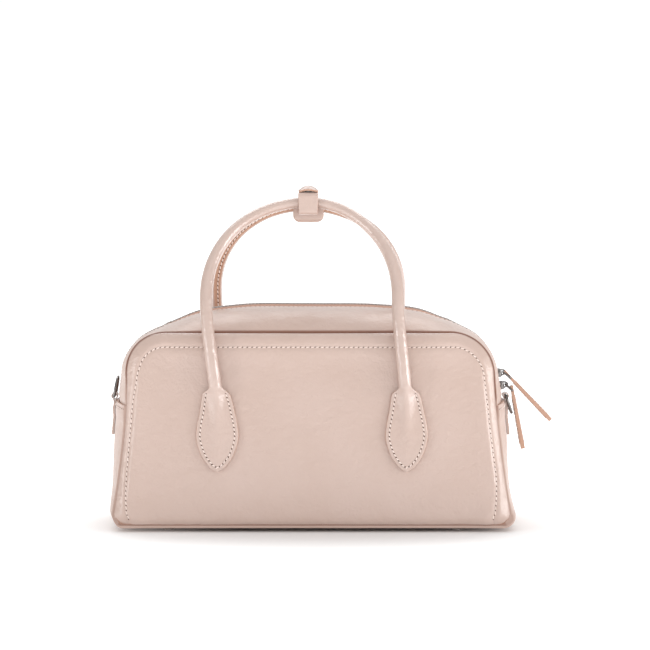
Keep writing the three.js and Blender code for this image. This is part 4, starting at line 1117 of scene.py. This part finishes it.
# Polished calf leather: drawn tight over the cores of the rolled handles and rubbed up. Their flat tabs have
# only the plain glaze.
polished_leather = glazed_by_height("polished blush calf leather", (0.088, 0.110), (0.5, 1.0), {
    "Coat IOR": 1.75, "Coat Roughness": 0.15})
for row in handles:
    name, facing, lean, top_shift, apex = row.values()
    leg_depth = panel_face(tab_x, shoulder) + leg_standoff + handle_radius

    def centre_depth(z):
        return blend(leg_depth, apex_depth, clamp((z - shoulder) / (apex - shoulder)) ** 2)

    def leg_x(side, z):
        climb = smooth(lean_start, arch_base, z)
        return lean * climb + side * blend(tab_x, arch_half, climb)

    def roll_radius(z):
        return blend(handle_radius, top_radius, smooth(arch_base, apex, z))

    def tab_surface(side, across, z, height):
        x = leg_x(side, z) + across
        return Vector((bag_x + x, facing * (panel_face(x, z) + tab_seat + height), z))

    route = [(leg_x(1, z), z) for z in leg_heights]
    for angle in spread(0, math.pi, 64):
        rise = math.sin(angle)
        aside = lean + top_shift * rise ** top_focus
        route.append((aside + arch_half * math.cos(angle), blend(arch_base, apex, rise ** arch_full)))
    route += [(leg_x(-1, z), z) for z in reversed(leg_heights)]
    centres = [Vector((bag_x + x, facing * centre_depth(z), z)) for x, z in route]
    frames = []
    for order, centre in enumerate(centres):
        along = (centres[min(order + 1, len(centres) - 1)] - centres[max(order - 1, 0)]).normalized()
        outward = (Vector((0, facing, 0)) - along * along.y * facing).normalized()
        frames.append((centre, outward, outward.cross(along) * facing))

    def handle_corner(column, order):
        z = route[order][1]
        centre, outward, sideways = frames[order]
        angle, gap = ring_angle(column), seam_gap(column)
        begun = smooth(*groove_start, z)
        reach = roll_radius(z) - roll_groove * hump(gap, groove_width) * begun
        tube = centre + sideways * (reach * math.cos(angle)) + outward * (reach * math.sin(angle))
        share = smooth(*tube_blend, z)
        if share == 1:
            # painted shade along the roll's seam
            return tube, roll_seam_shade * hump(gap, painted_shade_width) * begun
        half = tab_half(z)
        across = math.cos(angle) * half * math.copysign(1, sideways.x)
        edge = half - abs(across)
        if math.sin(angle) > 0:
            height = tab_height(across, z) - lip(edge, min(tab_top_lip, half))
        else:
            height = lip(edge, min(tab_under_lip, half))
        side = 1 if order < len(route) / 2 else -1
        return tab_surface(side, across, z, height).lerp(tube, share), 0

    def painted(column, order):
        on_edge = column in (0, ring_columns - 1, half_ring - 2, half_ring - 1, half_ring)
        z = route[order][1]
        return int(on_edge and z < paint_top or seam_gap(column) < roll_seam_half and z > seam_low)

    handle = placed_grid(f"{name}_handle_leather", range(ring_columns + 1), range(len(route)), handle_corner,
                         None, [polished_leather, edge_paint], painted)
    weld(filled=True)
    shade_by(45)
    dress(handle, "blush_leather", f"{name}_handle")

    rows = []
    for side in (-1, 1):
        path = [(tab_surface(side, across, z, tab_height(across, z) + thread_lift), Vector((0, facing, 0)))
                for across, z in stitch_line]
        rows.append(stitch_row(f"{name}_handle_stitches", path, **tab_stitching))
    path = []
    for (_, z), (centre, outward, sideways) in zip(route, frames):
        if z > seam_low:
            way = sideways * math.cos(roll_seam) + outward * math.sin(roll_seam)
            path.append((centre + way * (roll_radius(z) - 0.0001), way))
    rows.append(stitch_row(f"{name}_handle_stitches", path))
    dress(join_pieces(f"{name}_handle_stitches", rows), "blush_leather")

# Keeper: a strap folded round the front handle's top and a wider sleeve round the back one. A tongue from the
# sleeve lies forward over the strap and snaps to it, so the handles stay together.
keeper_x = bag_x - 0.0028
keeper_wall, tongue_wall, keeper_bevel = 0.0018, 0.0014, 0.0005
strap_width, strap_taper, sleeve_width = 0.0145, 0.0012, 0.022
strap_loop = {"front": -0.0148, "back": -0.0006, "low": 0.2221, "high": 0.2380, "corner": 0.003}
sleeve_loop = {"front": 0.0002, "back": 0.016, "low": 0.2163, "high": 0.2350, "corner": 0.004}
sleeve_round = 0.005  # the sleeve's lower corners, seen from the front
sleeve_shoulder = 0.2260  # it narrows above this height
tongue_front, tongue_top, tongue_dome, tongue_corner = -0.0126, 0.2429, 0.0024, 0.004
tongue_low, tongue_laid, tongue_tip, tongue_curl = 0.2255, (0.2334, 0.2400), 0.0012, 1.4
loop_step = 0.0012


def loop_outline(loop):
    corner = loop["corner"]
    low_y, high_y = loop["front"] + corner, loop["back"] - corner
    low_z, high_z = loop["low"] + corner, loop["high"] - corner
    outline = []
    centres = ((high_y, low_z), (high_y, high_z), (low_y, high_z), (low_y, low_z))
    for start, centre in zip((-90, 0, 90, 180), centres):
        outline += arc_points(centre, (corner, corner), start, start + 90, 8)
    filled = []
    for here, after in zip(outline, outline[1:] + outline[:1]):
        steps = max(round(math.dist(here, after) / loop_step), 1)
        filled += [(blend(here[0], after[0], share), blend(here[1], after[1], share))
                   for share in spread(0, 1, steps)[:-1]]
    return filled + filled[:1]


def keeper_sheet(name, path, columns, place, middle, wall, looped, **solid):
    """Leather along a path with its wall inwards, whose rim is painted and rounded."""
    sheet = placed_grid(name, range(len(path)), columns, place, middle, [leather, edge_paint])
    if looped:
        weld(facing_out=False)
    apply_modifier(sheet, "SOLIDIFY", thickness=wall, offset=-1, material_offset_rim=1, **solid)
    apply_modifier(sheet, "BEVEL", width=keeper_bevel, segments=2, limit_method="ANGLE",
                   angle_limit=sharp_edge)
    shade_by(40)
    return sheet


def keeper_loop(name, loop, width_at):
    outline = loop_outline(loop)
    middle = Vector((keeper_x, (loop["front"] + loop["back"]) / 2, (loop["low"] + loop["high"]) / 2))

    def place(order, share):
        y, z = outline[order]
        return Vector((keeper_x + share * width_at(z) / 2, y, z)), 0

    return keeper_sheet(
        name, outline, spread(-1, 1, 8), place, middle, keeper_wall, looped=True, use_even_offset=True)


def strap_width_at(z):
    return strap_width - strap_taper * smooth(strap_loop["high"], strap_loop["low"], z)


def sleeve_width_at(z):
    wide = blend(sleeve_width, strap_width - 0.001, smooth(sleeve_shoulder, sleeve_loop["high"], z))
    return wide - 2 * lip(z - sleeve_loop["low"], sleeve_round)


dress(keeper_loop("keeper_strap_leather", strap_loop, strap_width_at), "blush_leather", "keeper_strap")
sleeve = keeper_loop("keeper_sleeve_leather", sleeve_loop, sleeve_width_at)
bend = (sleeve_loop["back"] - tongue_corner, tongue_top - tongue_corner)
tongue_path = [(sleeve_loop["back"] - 0.0001, z) for z in spread(tongue_low, bend[1], 8)]
tongue_path += arc_points(bend, (tongue_corner, tongue_corner), 0, 90, 8)[1:]
tongue_path += [(y, tongue_top) for y in spread(bend[0], tongue_front, 16)[1:]]
tongue_middle = Vector((keeper_x, 0.002, 0.2320))


def tongue_corner_at(order, share):
    y, z = tongue_path[order]
    laid = smooth(*tongue_laid, z)
    wide = blend(sleeve_width_at(z), strap_width, laid)
    tip = lip(y - tongue_front, tongue_tip) if z > tongue_laid[1] else 0
    curl = tongue_curl * share ** 2 + (1 - share ** 2) * smooth(tongue_front + 0.0045, tongue_front, y)
    # painted shade on the tongue's tip, where it curls down
    tip_shade = 0.15 * smooth(tongue_front + 0.012, tongue_front + 0.004, y) * laid
    return Vector((keeper_x + share * (wide / 2 - tip), y, z - tongue_dome * laid * curl)), tip_shade


tongue = keeper_sheet("tongue", tongue_path, spread(-1, 1, 12), tongue_corner_at, tongue_middle, tongue_wall,
                      looped=False, material_offset=1)
dress(join_pieces("keeper_sleeve_leather", [sleeve, tongue]), "blush_leather", "keeper_sleeve")

# Snap: a nickel press stud between the strap and the tongue. A wide socket lies on the strap, and the stud in
# its middle reaches up into the tongue.
snap_y, snap_low, snap_bevel = -0.0065, strap_loop["high"] + 0.0002, 0.0002
snap_steps = table(
    "radius low high",
    (0.0056, snap_low, snap_low + 0.0006),
    (0.0030, snap_low + 0.0003, snap_low + 0.0021))


def turned_stud(name, x, y, low, high, low_radius, high_radius, bevel, material):
    bpy.ops.object.select_all(action="DESELECT")
    bpy.ops.mesh.primitive_cone_add(vertices=40, radius1=low_radius, radius2=high_radius, depth=high - low,
                                    location=(x, y, (low + high) / 2))
    stud = bpy.context.object
    stud.name = stud.data.name = name
    bpy.ops.object.transform_apply(location=True)
    apply_modifier(stud, "BEVEL", width=bevel, segments=3, limit_method="ANGLE")
    shade_by(35)
    stud.data.materials.append(material)
    return stud


snap_parts = [turned_stud("snap", keeper_x, snap_y, step["low"], step["high"], step["radius"], step["radius"],
                          snap_bevel, nickel) for step in snap_steps]
dress(join_pieces("keeper_snap_metal", snap_parts), "nickel_metal", "keeper_snap")

# Feet: four bright nickel studs, riveted through the base and spreading a little towards the ground, each
# turned from rod with a rounded rim.
foot_taper, foot_seat = 0.0012, 0.0006  # the taper is in radius; the seat reaches up into the base
foot_bevel = 0.0003
for foot_name in ("front_left", "front_right", "back_left", "back_right"):
    low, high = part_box(f"foot_{foot_name}")
    x, y, radius = (low.x + high.x) / 2, (low.y + high.y) / 2, (high.x - low.x) / 2
    foot = turned_stud(f"foot_{foot_name}_metal", x, y, low.z, high.z + foot_seat, radius,
                       radius - foot_taper, foot_bevel, bright_nickel)
    dress(foot, "nickel_metal", f"foot_{foot_name}")
